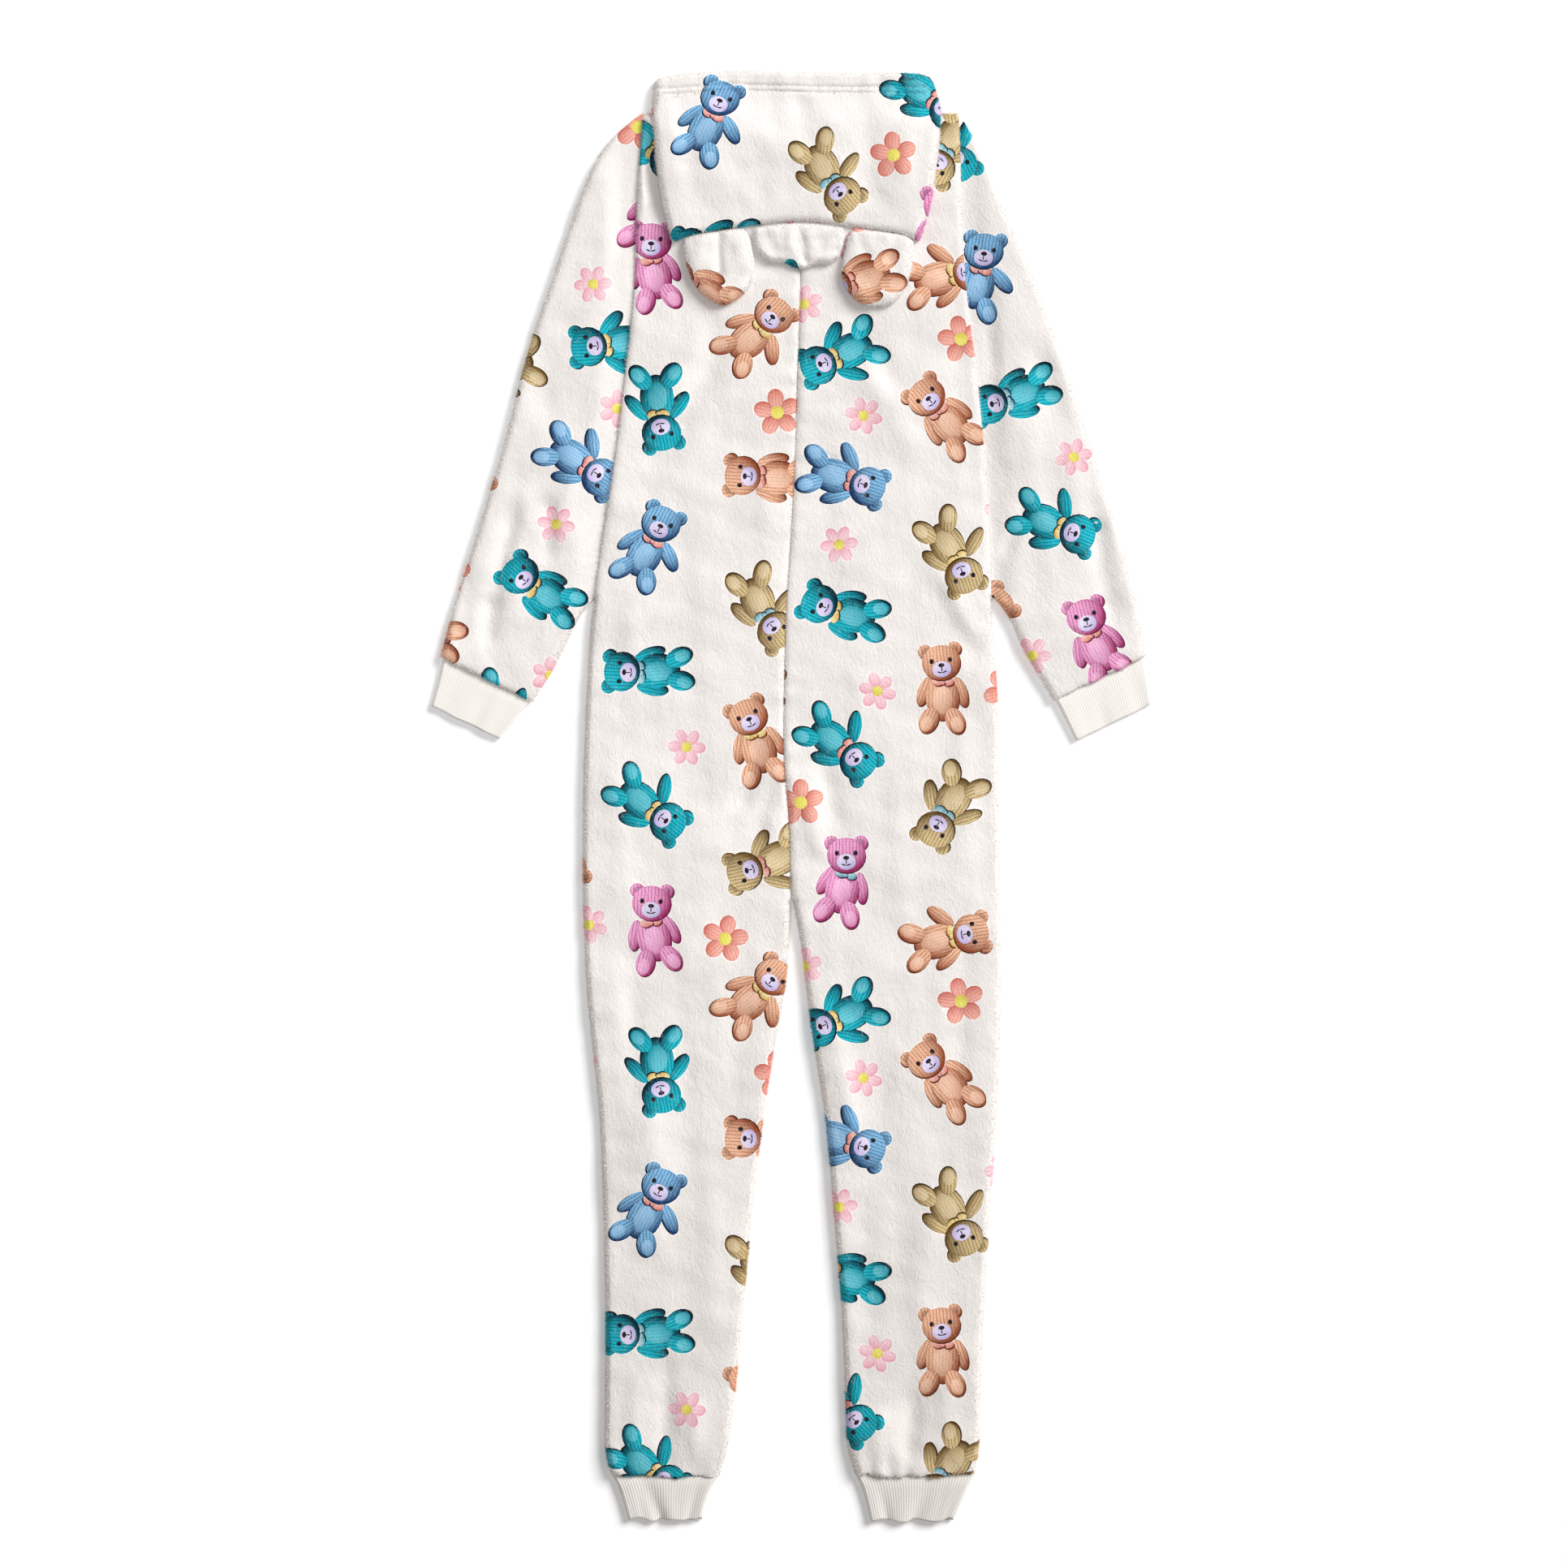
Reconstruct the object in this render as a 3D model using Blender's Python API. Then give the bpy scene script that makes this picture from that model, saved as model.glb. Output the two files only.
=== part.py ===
"""Hooded one-piece pajama in fleece, laid flat on a surface with its back up.

All sizes are millimetres until a mesh is made. X runs across the garment, +X to the wearer's
right. +Y runs towards the hood. +Z points up, and the surface it lies on is Z = 0. The origin is
on that surface, under the middle of the garment.

The back panels lie on top. Their rims turn down at the sides and the inseams and hold the front
panels between them. Above the armpits they lie on the sleeves, which tuck in under them.
"""

import math

import bmesh
import bpy

MM = 0.001

# Cloth
FLEECE = 2.6
RIB_CLOTH = 1.8
GAP = 0.3
CURVE_GAP = 1.1

# Whole garment
SHOULDER_Y = 587.3
ARMPIT_Y = 166.0
SIDE_DOWN_Y = 143.0
CROTCH_Y = -74.0
LEGS_APART_Y = -100.0
LEG_END_Y = -584.1

# Body panels
PANEL_TOP = 9.0
LEG_END_TOP = 7.7
LEG_END_EASE = 18.0
RIM_RADIUS = 9.0
RIM_STEPS = (0.0, 0.8, 2.6, 5.2, 9.0)
PANEL_COLUMNS = 6
LONGEST_STEP = 44.0
RIM_INSET = 4.0
SEAM_DEPTH = 1.5
SEAM_WIDTH = 14.0
NECK_HALF = 60.0
NECK_BLEND = 12.0
FRONT_NECK = (80.0, 48.0)
FRONT_EDGE_LOW_Y = 150.0
FRONT_EDGE_HIGH_Y = 178.0
FRONT_SEAM_EASE = 60.0
FRONT_CROTCH_Y = -66.0

# Sleeves
SLEEVE_TOP = 9.0
TUCK = 12.0
TUCK_TOP = 5.9
TUCK_LIP = TUCK_TOP + GAP
TUCK_SHOW = 1.5
TUCK_RISE = 25.0
LIP_FLAT = 15.0
LIP_BLEND = 12.0
SLEEVE_START_Y = 582.3
SLEEVE_END_Y = 180.3
TUBE_RADIUS = 8.0
TUBE_STEPS = (1.0, 3.5, 8.0)
TUBE_CORNER = 4.0
TUBE_MIDDLE = 3.4
SLEEVE_ROWS = 14
SLEEVE_ROW_GROWTH = 1.15
SLEEVE_COLUMNS = 6

# Ribbed cuffs
WRIST_RIBS = 28
ANKLE_RIBS = 33
RIB_HEIGHT = 0.5
CUFF_RADIUS = 5.0
CUFF_EDGE = 1.4
CUFF_TOP = 7.4
CUFF_END_TOP = 6.4

# Hood and ears
HOOD_COLUMNS = 11
HOOD_SIDE_INSET = 4.6
CROWN_GAP = 0.9
HOOD_DRAPE_Y = 592.0
HOOD_EXTRA_ROWS = (589.65, 582.0, 547.0, 518.0)
CROWN_EASE_Y = 518.0
HOOD_BED = PANEL_TOP + GAP
NECK_Y = 578.0
CROWN_TOP = 16.5
BACK_ROWS = (0.0, 0.3, 0.6, 0.85, 1.0)
ROLL_TOP = 15.6
ROLL_REACH = (3.0, 5.0)
ROLL_ANGLES = (-50, 0, 45, 90)
ROLL_LIP = 1.0
EAR_GAP = 0.95
EAR_TOP = 7.0
EAR_TIP_TOP = 5.4
EAR_TAPER_START = 0.55
EAR_ROOT_SHARE = 0.25
EAR_COLUMNS = 3

# Front opening
ZIP_WIDTH = 8.0
ZIP_END_Y = 20.0
ZIP_TOP = 2.2


def table(names, rows):
    """Name the columns of a table that has one row for each section."""
    return [dict(zip(names.split(), row)) for row in rows]


# Body outline: side folds, centre-back seam and inseams, from shoulder to ankle
BODY = table(
    "y left_side left_inner right_inner right_side",
    (
        (587.3, -127.7, 8.8, 8.8, 143.1),
        (562, -129.8, 8.7, 8.7, 145.0),
        (504, -133.2, 8.3, 8.3, 146.0),
        (434, -135.6, 7.5, 7.5, 150.3),
        (364, -143.2, 5.1, 5.1, 159.3),
        (294, -151.6, 3.0, 3.0, 165.8),
        (224, -162.3, -0.5, -0.5, 170.7),
        (176, -169.0, -3.9, -3.9, 171.8),
        (143, -173.4, -5.5, -5.5, 172.4),
        (112, -175.0, -6.0, -6.0, 175.6),
        (70, -177.1, -7.0, -7.0, 177.6),
        (28, -178.8, -7.0, -7.0, 178.3),
        (-14, -179.5, -2.6, -2.6, 179.0),
        (-74, -179.5, -1.0, -1.0, 179.5),
        (-86, -179.4, -1.1, 0.5, 179.6),
        (-100, -179.1, -1.3, 3.0, 179.9),
        (-120, -178.6, -1.8, 7.4, 180.3),
        (-182, -175.1, -7.6, 14.6, 180.3),
        (-224, -170.3, -16.5, 20.9, 179.3),
        (-266, -165.9, -23.0, 28.0, 177.5),
        (-364, -161.6, -34.8, 37.1, 170.3),
        (-462, -160.0, -43.5, 44.5, 165.0),
        (-546, -160.6, -52.3, 47.4, 161.8),
        (-567, -161.2, -55.6, 48.0, 161.4),
        (-576, -160.0, -57.8, 50.8, 160.4),
        (-581, -156.6, -61.0, 54.2, 158.0),
        (-584.1, -153.0, -64.0, 57.2, 155.6),
    ),
)

# Sleeve folds, from shoulder and armpit down to the cuff
SLEEVE_OUTER = {
    "left": (
        (-130.5, 586.6), (-140.3, 580.6), (-150.1, 573.6), (-162.0, 558.2), (-170.4, 544.2),
        (-179.5, 522.5), (-188.6, 501.5), (-201.2, 458.1), (-217.3, 415.4), (-232.0, 365.8),
        (-246.0, 307.6), (-257.2, 269.8), (-268.4, 234.1), (-277.5, 204.8), (-287.3, 174.6),
        (-296.4, 146.6), (-302.0, 121.4),
    ),
    "right": (
        (140.3, 586.6), (148.8, 575.8), (156.5, 566.5), (164.5, 553.3), (171.8, 537.2),
        (178.4, 521.1), (185.0, 505.0), (196.5, 476.3), (214.0, 436.0), (232.7, 383.2),
        (248.1, 335.6), (257.8, 304.0), (268.4, 270.0), (279.6, 236.8), (288.8, 206.2),
        (296.4, 180.2), (302.0, 150.0), (305.5, 122.8),
    ),
}
SLEEVE_INNER = {
    "left": ((-170.4, 171.1), (-176.0, 164.8), (-187.9, 144.5), (-199.1, 117.9), (-221.5, 82.2)),
    "right": (
        (173.0, 172.5), (179.5, 166.0), (187.9, 154.0), (197.0, 129.2), (219.4, 92.0), (224.3, 83.6),
    ),
}

# Cuffs, each row a line across the cuff from its first to its second side fold
CUFF_LINES = {
    "cuff_wrist_left": table(
        "x1 y1 x2 y2",
        ((-299.0, 119.6, -224.6, 83.3), (-304.4, 98.8, -237.4, 66.2), (-309.75, 79.4, -251.6, 48.6)),
    ),
    "cuff_wrist_right": table(
        "x1 y1 x2 y2",
        ((302.4, 120.9, 227.2, 84.6), (306.6, 101.0, 235.6, 65.6), (309.75, 82.2, 244.6, 47.2)),
    ),
    "cuff_ankle_left": table(
        "x1 y1 x2 y2",
        ((-151.4, -584.4, -65.6, -584.4), (-146.6, -602.0, -72.4, -602.0), (-141.0, -623.2, -77.3, -622.6)),
    ),
    "cuff_ankle_right": table(
        "x1 y1 x2 y2",
        ((154.0, -584.4, 58.8, -584.4), (148.6, -602.0, 62.6, -602.0), (140.3, -622.4, 67.5, -624.0)),
    ),
}

# Hood outline: its side folds, its height above the surface, and its two ends
HOOD = table(
    "y left right top",
    (
        (617, -118.2, 121.0, 8.8),
        (609, -119.3, 124.5, 9.1),
        (600, -119.8, 126.8, 9.8),
        (592, -120.0, 128.0, 12.4),
        (587.7, -119.8, 128.2, 15.0),
        (575, -118.9, 127.7, 17.6),
        (563, -117.9, 127.0, 18.2),
        (531, -115.1, 123.2, 18.3),
        (505, -110.8, 118.4, 17.8),
        (490, -106.2, 113.6, 17.0),
        (480, -102.6, 109.3, CROWN_TOP),
    ),
)
FACE_EDGE = table(
    "x y",
    (
        (-120, 614), (-112, 618.4), (-86, 621.9), (-43, 624), (0, 622.8), (48, 622), (105, 622),
        (119, 618.5), (128, 608),
    ),
)
CROWN_SEAM = table(
    "x y",
    (
        (-103, 475), (-93, 480), (-66, 485.4), (-35, 489.3), (-12, 492.4), (10, 493.8), (28, 492.2),
        (43, 489.8), (75, 485.6), (99, 481.8), (109, 476),
    ),
)
HOOD_BACK_SIDES = table(
    "y left right",
    (
        (578, -115.0, 123.8), (563, -114.0, 123.0), (531, -111.0, 119.2), (505, -104.0, 112.0),
        (490, -91.0, 103.0), (450, -91.0, 103.0),
    ),
)

# Hood's lower sides: how far each reaches from its side fold towards the zip
HOOD_SIDE = table(
    "y share", ((611.0, 0.06), (603.0, 0.22), (596.0, 0.5), (591.0, 0.78), (587.6, 1.0))
)

# Crown roll: how far it hangs past the crown seam, most of it between the ears
CROWN_ROLL = table(
    "x drop",
    (
        (-91, 5), (-66, 5), (-41, 5), (-34, 11.5), (-29.5, 23), (-21, 32.5), (-5, 36), (8, 40),
        (29, 37), (41, 28), (46.5, 11.5), (52, 5), (75, 5), (91, 5), (103, 5),
    ),
)

EAR_OUTLINE = {
    "left": table(
        "y left right",
        (
            (481, -91.6, -42.0), (472, -93.4, -35.4), (459, -91.4, -32.0), (446, -87.2, -31.6),
            (436.4, -82.2, -36.0), (429.4, -76.4, -41.6), (424.2, -69.0, -49.6), (421.4, -62.4, -56.4),
        ),
    ),
    "right": table(
        "y left right",
        (
            (481, 53.0, 103.4), (472, 47.4, 105.0), (459, 43.4, 104.2), (446, 42.6, 101.4),
            (436, 45.6, 98.4), (428, 51.6, 93.4), (422.4, 60.0, 86.6), (419.8, 67.6, 79.6),
        ),
    ),
}

# Main folds, each a straight ridge (height over 0) or trough (under 0)
BODY_FOLDS = table(
    "x1 y1 x2 y2 width height",
    (
        (-59, 387, -92, 322, 12, -1.5),
        (-92, 322, -123, 280, 12, -1.2),
        (-111, 205, -146, 136, 10, 2.0),
        (-30, 42, -44, -12, 8, -1.5),
        (-10, -20, -26, -62, 8, 1.4),
        (-150, 30, -146, -110, 13, 1.4),
        (-128, -240, -118, -400, 15, 1.4),
        (-109, -490, -107, -570, 10, -1.8),
        (68, 366, 106, 292, 14, 1.6),
        (118, 200, 156, 134, 10, 2.0),
        (24, 30, 42, -30, 9, -1.4),
        (148, 60, 144, -70, 13, 1.5),
        (30, -180, 52, -300, 11, 1.8),
        (118, -330, 110, -450, 14, 1.3),
        (103, -520, 101, -572, 10, -1.8),
    ),
)
SLEEVE_FOLDS = table(
    "x1 y1 x2 y2 width height",
    (
        (-238, 247, -257, 167, 9, -2.2),
        (-257, 167, -262, 130, 9, -1.8),
        (-208, 252, -212, 205, 8, -1.8),
        (-146, 560, -150, 436, 9, -1.6),
        (166, 452, 170, 335, 9, -2.2),
        (204, 244, 180, 207, 8, -2.0),
        (262, 240, 276, 150, 10, -1.6),
        (214, 380, 226, 320, 10, -1.3),
    ),
)


def smooth(share):
    """Ease from 0 to 1."""
    t = min(1.0, max(0.0, share))
    return t * t * (3.0 - 2.0 * t)


def mix(a, b, share):
    return a + (b - a) * share


def value(rows, column, at, along="y"):
    """Read a column between its rows on a smooth curve that doesn't overshoot them."""
    rows = sorted(rows, key=lambda row: row[along])
    xs = [row[along] for row in rows]
    ys = [row[column] for row in rows]
    if at <= xs[0]:
        return ys[0]
    if at >= xs[-1]:
        return ys[-1]
    slopes = [(ys[i + 1] - ys[i]) / (xs[i + 1] - xs[i]) for i in range(len(xs) - 1)]
    tangents = [slopes[0]]
    for before, after in zip(slopes, slopes[1:]):
        turns = before * after <= 0.0
        tangents.append(0.0 if turns else 2.0 * before * after / (before + after))
    tangents.append(slopes[-1])
    i = max(k for k in range(len(xs) - 1) if xs[k] <= at)
    step = xs[i + 1] - xs[i]
    t = (at - xs[i]) / step
    ease = smooth(t)
    return (
        mix(ys[i], ys[i + 1], ease)
        + tangents[i] * step * t * (1.0 - t) ** 2
        - tangents[i + 1] * step * t * t * (1.0 - t)
    )


def along_path(points, share):
    """The point at a share of a path's length."""
    lengths = [math.dist(a, b) for a, b in zip(points, points[1:])]
    left = share * sum(lengths)
    for (a, b), length in zip(zip(points, points[1:]), lengths):
        if left <= length:
            t = left / length
            return mix(a[0], b[0], t), mix(a[1], b[1], t)
        left -= length
    return points[-1]


def rise(distance, radius):
    """A quarter round: 0 at an edge, 1 from its radius inwards."""
    share = min(1.0, max(0.0, distance / radius))
    return math.sqrt(1.0 - (1.0 - share) ** 2)


def near(distance, reach):
    """1 at an edge, falling evenly to 0 at the reach."""
    return max(0.0, 1.0 - distance / reach)


def fold_height(folds, x, y):
    """The height that the folds add at a point, each a soft ridge or trough along a line."""
    total = 0.0
    for fold in folds:
        run_x, run_y = fold["x2"] - fold["x1"], fold["y2"] - fold["y1"]
        t = ((x - fold["x1"]) * run_x + (y - fold["y1"]) * run_y) / (run_x**2 + run_y**2)
        t = min(1.0, max(0.0, t))
        away = math.hypot(x - fold["x1"] - t * run_x, y - fold["y1"] - t * run_y)
        total += fold["height"] * math.exp(-((away / fold["width"]) ** 2))
    return total


def cloth_material(name, colour, roughness):
    material = bpy.data.materials.new(name)
    material.use_nodes = True
    shader = material.node_tree.nodes["Principled BSDF"]
    shader.inputs["Base Color"].default_value = (*colour, 1.0)
    shader.inputs["Roughness"].default_value = roughness
    shader.inputs["Metallic"].default_value = 0.0
    return material


def add_solid(name, points, faces, colour, roughness):
    """Make one object from points in millimetres, its faces turned outwards."""
    mesh = bpy.data.meshes.new(name)
    mesh.from_pydata([[c * MM for c in point] for point in points], [], faces)
    shape = bmesh.new()
    shape.from_mesh(mesh)
    bmesh.ops.recalc_face_normals(shape, faces=shape.faces)
    shape.to_mesh(mesh)
    shape.free()
    mesh.shade_smooth()
    mesh.set_sharp_from_angle(angle=math.radians(50))
    mesh.materials.append(cloth_material(name + "_cloth", colour, roughness))
    made = bpy.data.objects.new(name, mesh)
    garment.objects.link(made)
    return made


def add_sheet(name, outer, inner, colour=(0.91, 0.87, 0.82), roughness=0.9):
    """A wall between two grids of points, closed round its edge."""
    rows, columns = len(outer), len(outer[0])
    under = rows * columns
    points = [p for row in outer for p in row] + [p for row in inner for p in row]
    faces = []
    for r in range(rows - 1):
        for c in range(columns - 1):
            first = r * columns + c
            quad = (first, first + 1, first + columns + 1, first + columns)
            faces.append(quad)
            faces.append(tuple(under + i for i in reversed(quad)))
    edge = list(range(columns))
    edge += [r * columns + columns - 1 for r in range(1, rows)]
    edge += [(rows - 1) * columns + c for c in range(columns - 2, -1, -1)]
    edge += [r * columns for r in range(rows - 2, 0, -1)]
    for a, b in zip(edge, edge[1:] + edge[:1]):
        faces.append((b, a, under + a, under + b))
    return add_solid(name, points, faces, colour, roughness)


def add_tube(name, outer, inner, colour=(0.91, 0.87, 0.82), roughness=0.9, closed_end=False):
    """A wall between two stacks of rings, open at its ends or closed at the last one."""
    rows, count = len(outer), len(outer[0])
    under = rows * count
    points = [p for ring in outer for p in ring] + [p for ring in inner for p in ring]
    faces = []
    for r in range(rows - 1):
        for c in range(count):
            after = (c + 1) % count
            quad = (r * count + c, r * count + after, (r + 1) * count + after, (r + 1) * count + c)
            faces.append(quad)
            faces.append(tuple(under + i for i in reversed(quad)))
    last = (rows - 1) * count
    for c in range(count):
        after = (c + 1) % count
        faces.append((after, c, under + c, under + after))
        if not closed_end:
            faces.append((last + c, last + after, under + last + after, under + last + c))
    if closed_end:
        faces.append(tuple(range(last, last + count)))
        faces.append(tuple(range(under + last + count - 1, under + last - 1, -1)))
    return add_solid(name, points, faces, colour, roughness)


def side_columns(width, steps, middle):
    """Distances across a panel: close together in both rims, even between them."""
    reach = steps[-1]
    between = [mix(reach, width - reach, (i + 1) / (middle + 1)) for i in range(middle)]
    return list(steps) + between + [width - s for s in reversed(steps)]


def body_stations():
    """Heights along the body where it has a row of points, from the shoulder to the ankle."""
    places = {row["y"] for row in BODY}
    places |= {SHOULDER_Y - step for step in RIM_STEPS}
    places |= {ARMPIT_Y, (ARMPIT_Y + SIDE_DOWN_Y) / 2}
    ordered = sorted(places, reverse=True)
    stations = []
    for high, low in zip(ordered, ordered[1:]):
        parts = math.ceil((high - low) / LONGEST_STEP)
        stations += [mix(high, low, i / parts) for i in range(parts)]
    return stations + [ordered[-1]]


def shoulder_closed(x):
    """1 where the shoulder turns down to the front, 0 across the open neck."""
    return smooth((abs(x) - NECK_HALF) / NECK_BLEND)


def legs_apart(y):
    return smooth((CROTCH_Y - y) / (CROTCH_Y - LEGS_APART_Y))


def inner_edge(side, y):
    """The panel's inner edge: the centre seam, which both sides share, then from the crotch the inseam."""
    return value(BODY, ("left" if y >= CROTCH_Y else side) + "_inner", y)


def side_lift(y):
    """How high the side rim ends: on the sleeve above the armpit, on the surface below it."""
    return TUCK_LIP * smooth((y - SIDE_DOWN_Y) / (ARMPIT_Y - SIDE_DOWN_Y))


def body_top(x, y, from_seam):
    """The height of the body's upper face away from its rims."""
    near_end = smooth((y - LEG_END_Y) / LEG_END_EASE)
    valley = SEAM_DEPTH * (1.0 - smooth(from_seam / SEAM_WIDTH)) * (1.0 - legs_apart(y))
    return mix(LEG_END_TOP, PANEL_TOP, near_end) + fold_height(BODY_FOLDS, x, y) * near_end - valley


def back_panel(side):
    """Back of one side, from shoulder to ankle. It meets the other at the centre-back seam."""
    outer, inner = [], []
    towards = 1.0 if side == "left" else -1.0
    for y in body_stations():
        edge = value(BODY, side + "_side", y)
        apart = legs_apart(y)
        width = abs(inner_edge(side, y) - edge) - GAP / 2 * (1.0 - apart)
        from_top = SHOULDER_Y - y
        outer_row, inner_row = [], []
        for d in side_columns(width, RIM_STEPS, PANEL_COLUMNS):
            x = edge + towards * d
            from_seam = width - d
            closed = shoulder_closed(x)
            base = side_lift(y) * (1.0 - smooth((d - LIP_FLAT) / LIP_BLEND))
            top = body_top(x, y, from_seam)
            round_up = rise(d, RIM_RADIUS) * mix(1.0, rise(from_top, RIM_RADIUS), closed)
            inseam = mix(1.0, rise(from_seam, RIM_RADIUS), apart)
            outer_row.append((x, y, (base + (top - base) * round_up) * inseam))
            inset = FLEECE * (near(d, RIM_RADIUS) - apart * near(from_seam, RIM_RADIUS))
            lower = FLEECE * closed * near(from_top, RIM_RADIUS)
            under = (base + (top - FLEECE - base) * round_up) * inseam
            inner_row.append((x + towards * inset, y - lower, under))
        outer.append(outer_row)
        inner.append(inner_row)
    return add_sheet("back_" + side, outer, inner)


def front_edge(side, y):
    """The front's outer edge: beside the sleeve's end above the armpit, inside the side rim below."""
    towards = 1.0 if side == "left" else -1.0
    share = (y - FRONT_EDGE_LOW_Y) / (FRONT_EDGE_HIGH_Y - FRONT_EDGE_LOW_Y)
    inset = mix(RIM_INSET, TUCK + CURVE_GAP, smooth(share))
    return value(BODY, side + "_side", y) + towards * inset


def front_inner_edge(side, y):
    """The front's inner edge: at the zip, then at the centre-front seam, then inside the inseam rim."""
    towards = -1.0 if side == "left" else 1.0
    if y >= ZIP_END_Y:
        return towards * (ZIP_WIDTH / 2 + GAP)
    middle = towards * GAP / 2
    seam = mix(middle, inner_edge(side, y) + middle, smooth((ZIP_END_Y - y) / FRONT_SEAM_EASE))
    leg = inner_edge(side, y) + towards * RIM_INSET
    return mix(seam, leg, legs_apart(y))


def front_panel(side):
    """Front of one side, flat on the surface between the back panel's rims.

    Its top edge reaches the neck seam between the shoulders, and stays inside their rims.
    """
    first = SHOULDER_Y - RIM_INSET
    stations = [y for y in body_stations() if y < SHOULDER_Y - RIM_RADIUS + GAP]
    stations += [ZIP_END_Y, ZIP_END_Y - GAP, FRONT_CROTCH_Y]
    stations = [first] + sorted(stations, reverse=True)
    start, end = abs(front_edge(side, first)), abs(front_inner_edge(side, first))
    shares = [0.0] + [(start - x) / (start - end) for x in FRONT_NECK] + [1.0]
    upper, lower = [], []
    for y in stations:
        start, end = front_edge(side, y), front_inner_edge(side, y)
        row = []
        for column, share in enumerate(shares):
            at_neck = RIM_INSET if y == first and column > 1 else 0.0
            row.append((mix(start, end, share), y + at_neck))
        upper.append([(x, at, FLEECE) for x, at in row])
        lower.append([(x, at, 0.0) for x, at in row])
    return add_sheet("front_" + side, upper, lower)


def front_zip():
    """Closed zip tape between the fronts, from the neck to the lower belly."""
    shape = bmesh.new()
    bmesh.ops.create_cube(shape, size=1.0)
    length = SHOULDER_Y - ZIP_END_Y - GAP
    for vertex in shape.verts:
        vertex.co.x *= ZIP_WIDTH * MM
        vertex.co.y = (vertex.co.y * length + ZIP_END_Y + GAP + length / 2) * MM
        vertex.co.z = (vertex.co.z + 0.5) * ZIP_TOP * MM
    mesh = bpy.data.meshes.new("front_zip")
    shape.to_mesh(mesh)
    shape.free()
    mesh.materials.append(cloth_material("front_zip_tape", (0.86, 0.84, 0.78), 0.6))
    made = bpy.data.objects.new("front_zip", mesh)
    garment.objects.link(made)
    return made


def flat_ring(place, width, top, wall, bed=0.0, folds=None, columns=SLEEVE_COLUMNS):
    """One ring of a flattened tube, and the ring inside its wall.

    place(distance) gives the point on the surface that lies that far across the ring, and
    top(x, y) the ring's height there. The underside is flat, and both sides are rounded folds.
    """
    corner = min(TUBE_CORNER, width / 4)
    steps = [s * min(1.0, width / 4 / TUBE_RADIUS) for s in TUBE_STEPS]
    radius = steps[-1]
    between = [mix(radius, width - radius, (i + 1) / (columns + 1)) for i in range(columns)]
    upper = steps + between + [width - s for s in reversed(steps)]
    lower = [mix(width - corner, corner, i / (columns - 1)) for i in range(columns)]

    def point(distance, height):
        x, y = place(distance)
        return x, y, bed + height

    def pulled_in(distance, reach):
        from_side = min(distance, width - distance)
        inset = wall * near(from_side, reach)
        return distance + (inset if distance < width / 2 else -inset)

    def crest(distance):
        x, y = place(distance)
        return top(x, y) + (fold_height(folds, x, y) if folds else 0.0)

    outer, inner = [point(0.0, TUBE_MIDDLE)], [point(wall, top(*place(0.0)) / 2)]
    for d in upper:
        high, share = crest(d), rise(min(d, width - d), radius)
        outer.append(point(d, mix(TUBE_MIDDLE, high, share)))
        half = top(*place(d)) / 2
        inner.append(point(pulled_in(d, radius), mix(half, high - wall, share)))
    outer.append(point(width, TUBE_MIDDLE))
    inner.append(point(width - wall, top(*place(width)) / 2))
    for d in lower:
        outer.append(point(d, 0.0))
        inner.append(point(pulled_in(d, 2 * corner), wall))
    return outer, inner


def sleeve(side):
    """One sleeve, a flattened tube from the armhole to the cuff seam.

    Its first row lies under the back panel, along the armhole. The second is where it comes out.
    From there the rows fan out to the cuff seam.
    """
    out = -1.0 if side == "left" else 1.0
    outer_path, inner_path = SLEEVE_OUTER[side], SLEEVE_INNER[side]
    first_y, last_y = outer_path[0][1], inner_path[0][1]
    outer, inner = [], []

    def armhole(share, offset, high, low):
        y = mix(high, low, share)
        return value(BODY, side + "_side", y) + out * offset, y

    def top(x, y):
        past = out * (x - value(BODY, side + "_side", max(y, ARMPIT_Y))) - TUCK_SHOW
        return mix(TUCK_TOP, SLEEVE_TOP, smooth(past / TUCK_RISE))

    def add_row(place_share):
        start, end = place_share(0.0), place_share(1.0)
        width = math.dist(start, end)
        rings = flat_ring(lambda d: place_share(d / width), width, top, FLEECE, folds=SLEEVE_FOLDS)
        outer.append(rings[0])
        inner.append(rings[1])

    def mouth(share):
        return armhole(share, TUCK_SHOW, first_y, last_y)

    add_row(lambda t: armhole(t, -TUCK, SLEEVE_START_Y, SLEEVE_END_Y))
    add_row(mouth)
    for k in range(1, SLEEVE_ROWS):
        share = (k / (SLEEVE_ROWS - 1)) ** SLEEVE_ROW_GROWTH
        start, end = along_path(outer_path, share), along_path(inner_path, share)

        def across(t, start=start, end=end, share=share):
            bow = mouth(t)[0] - mix(mouth(0.0)[0], mouth(1.0)[0], t)
            return mix(start[0], end[0], t) + bow * (1.0 - share), mix(start[1], end[1], t)

        add_row(across)
    return add_tube("sleeve_" + side, outer, inner)


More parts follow.
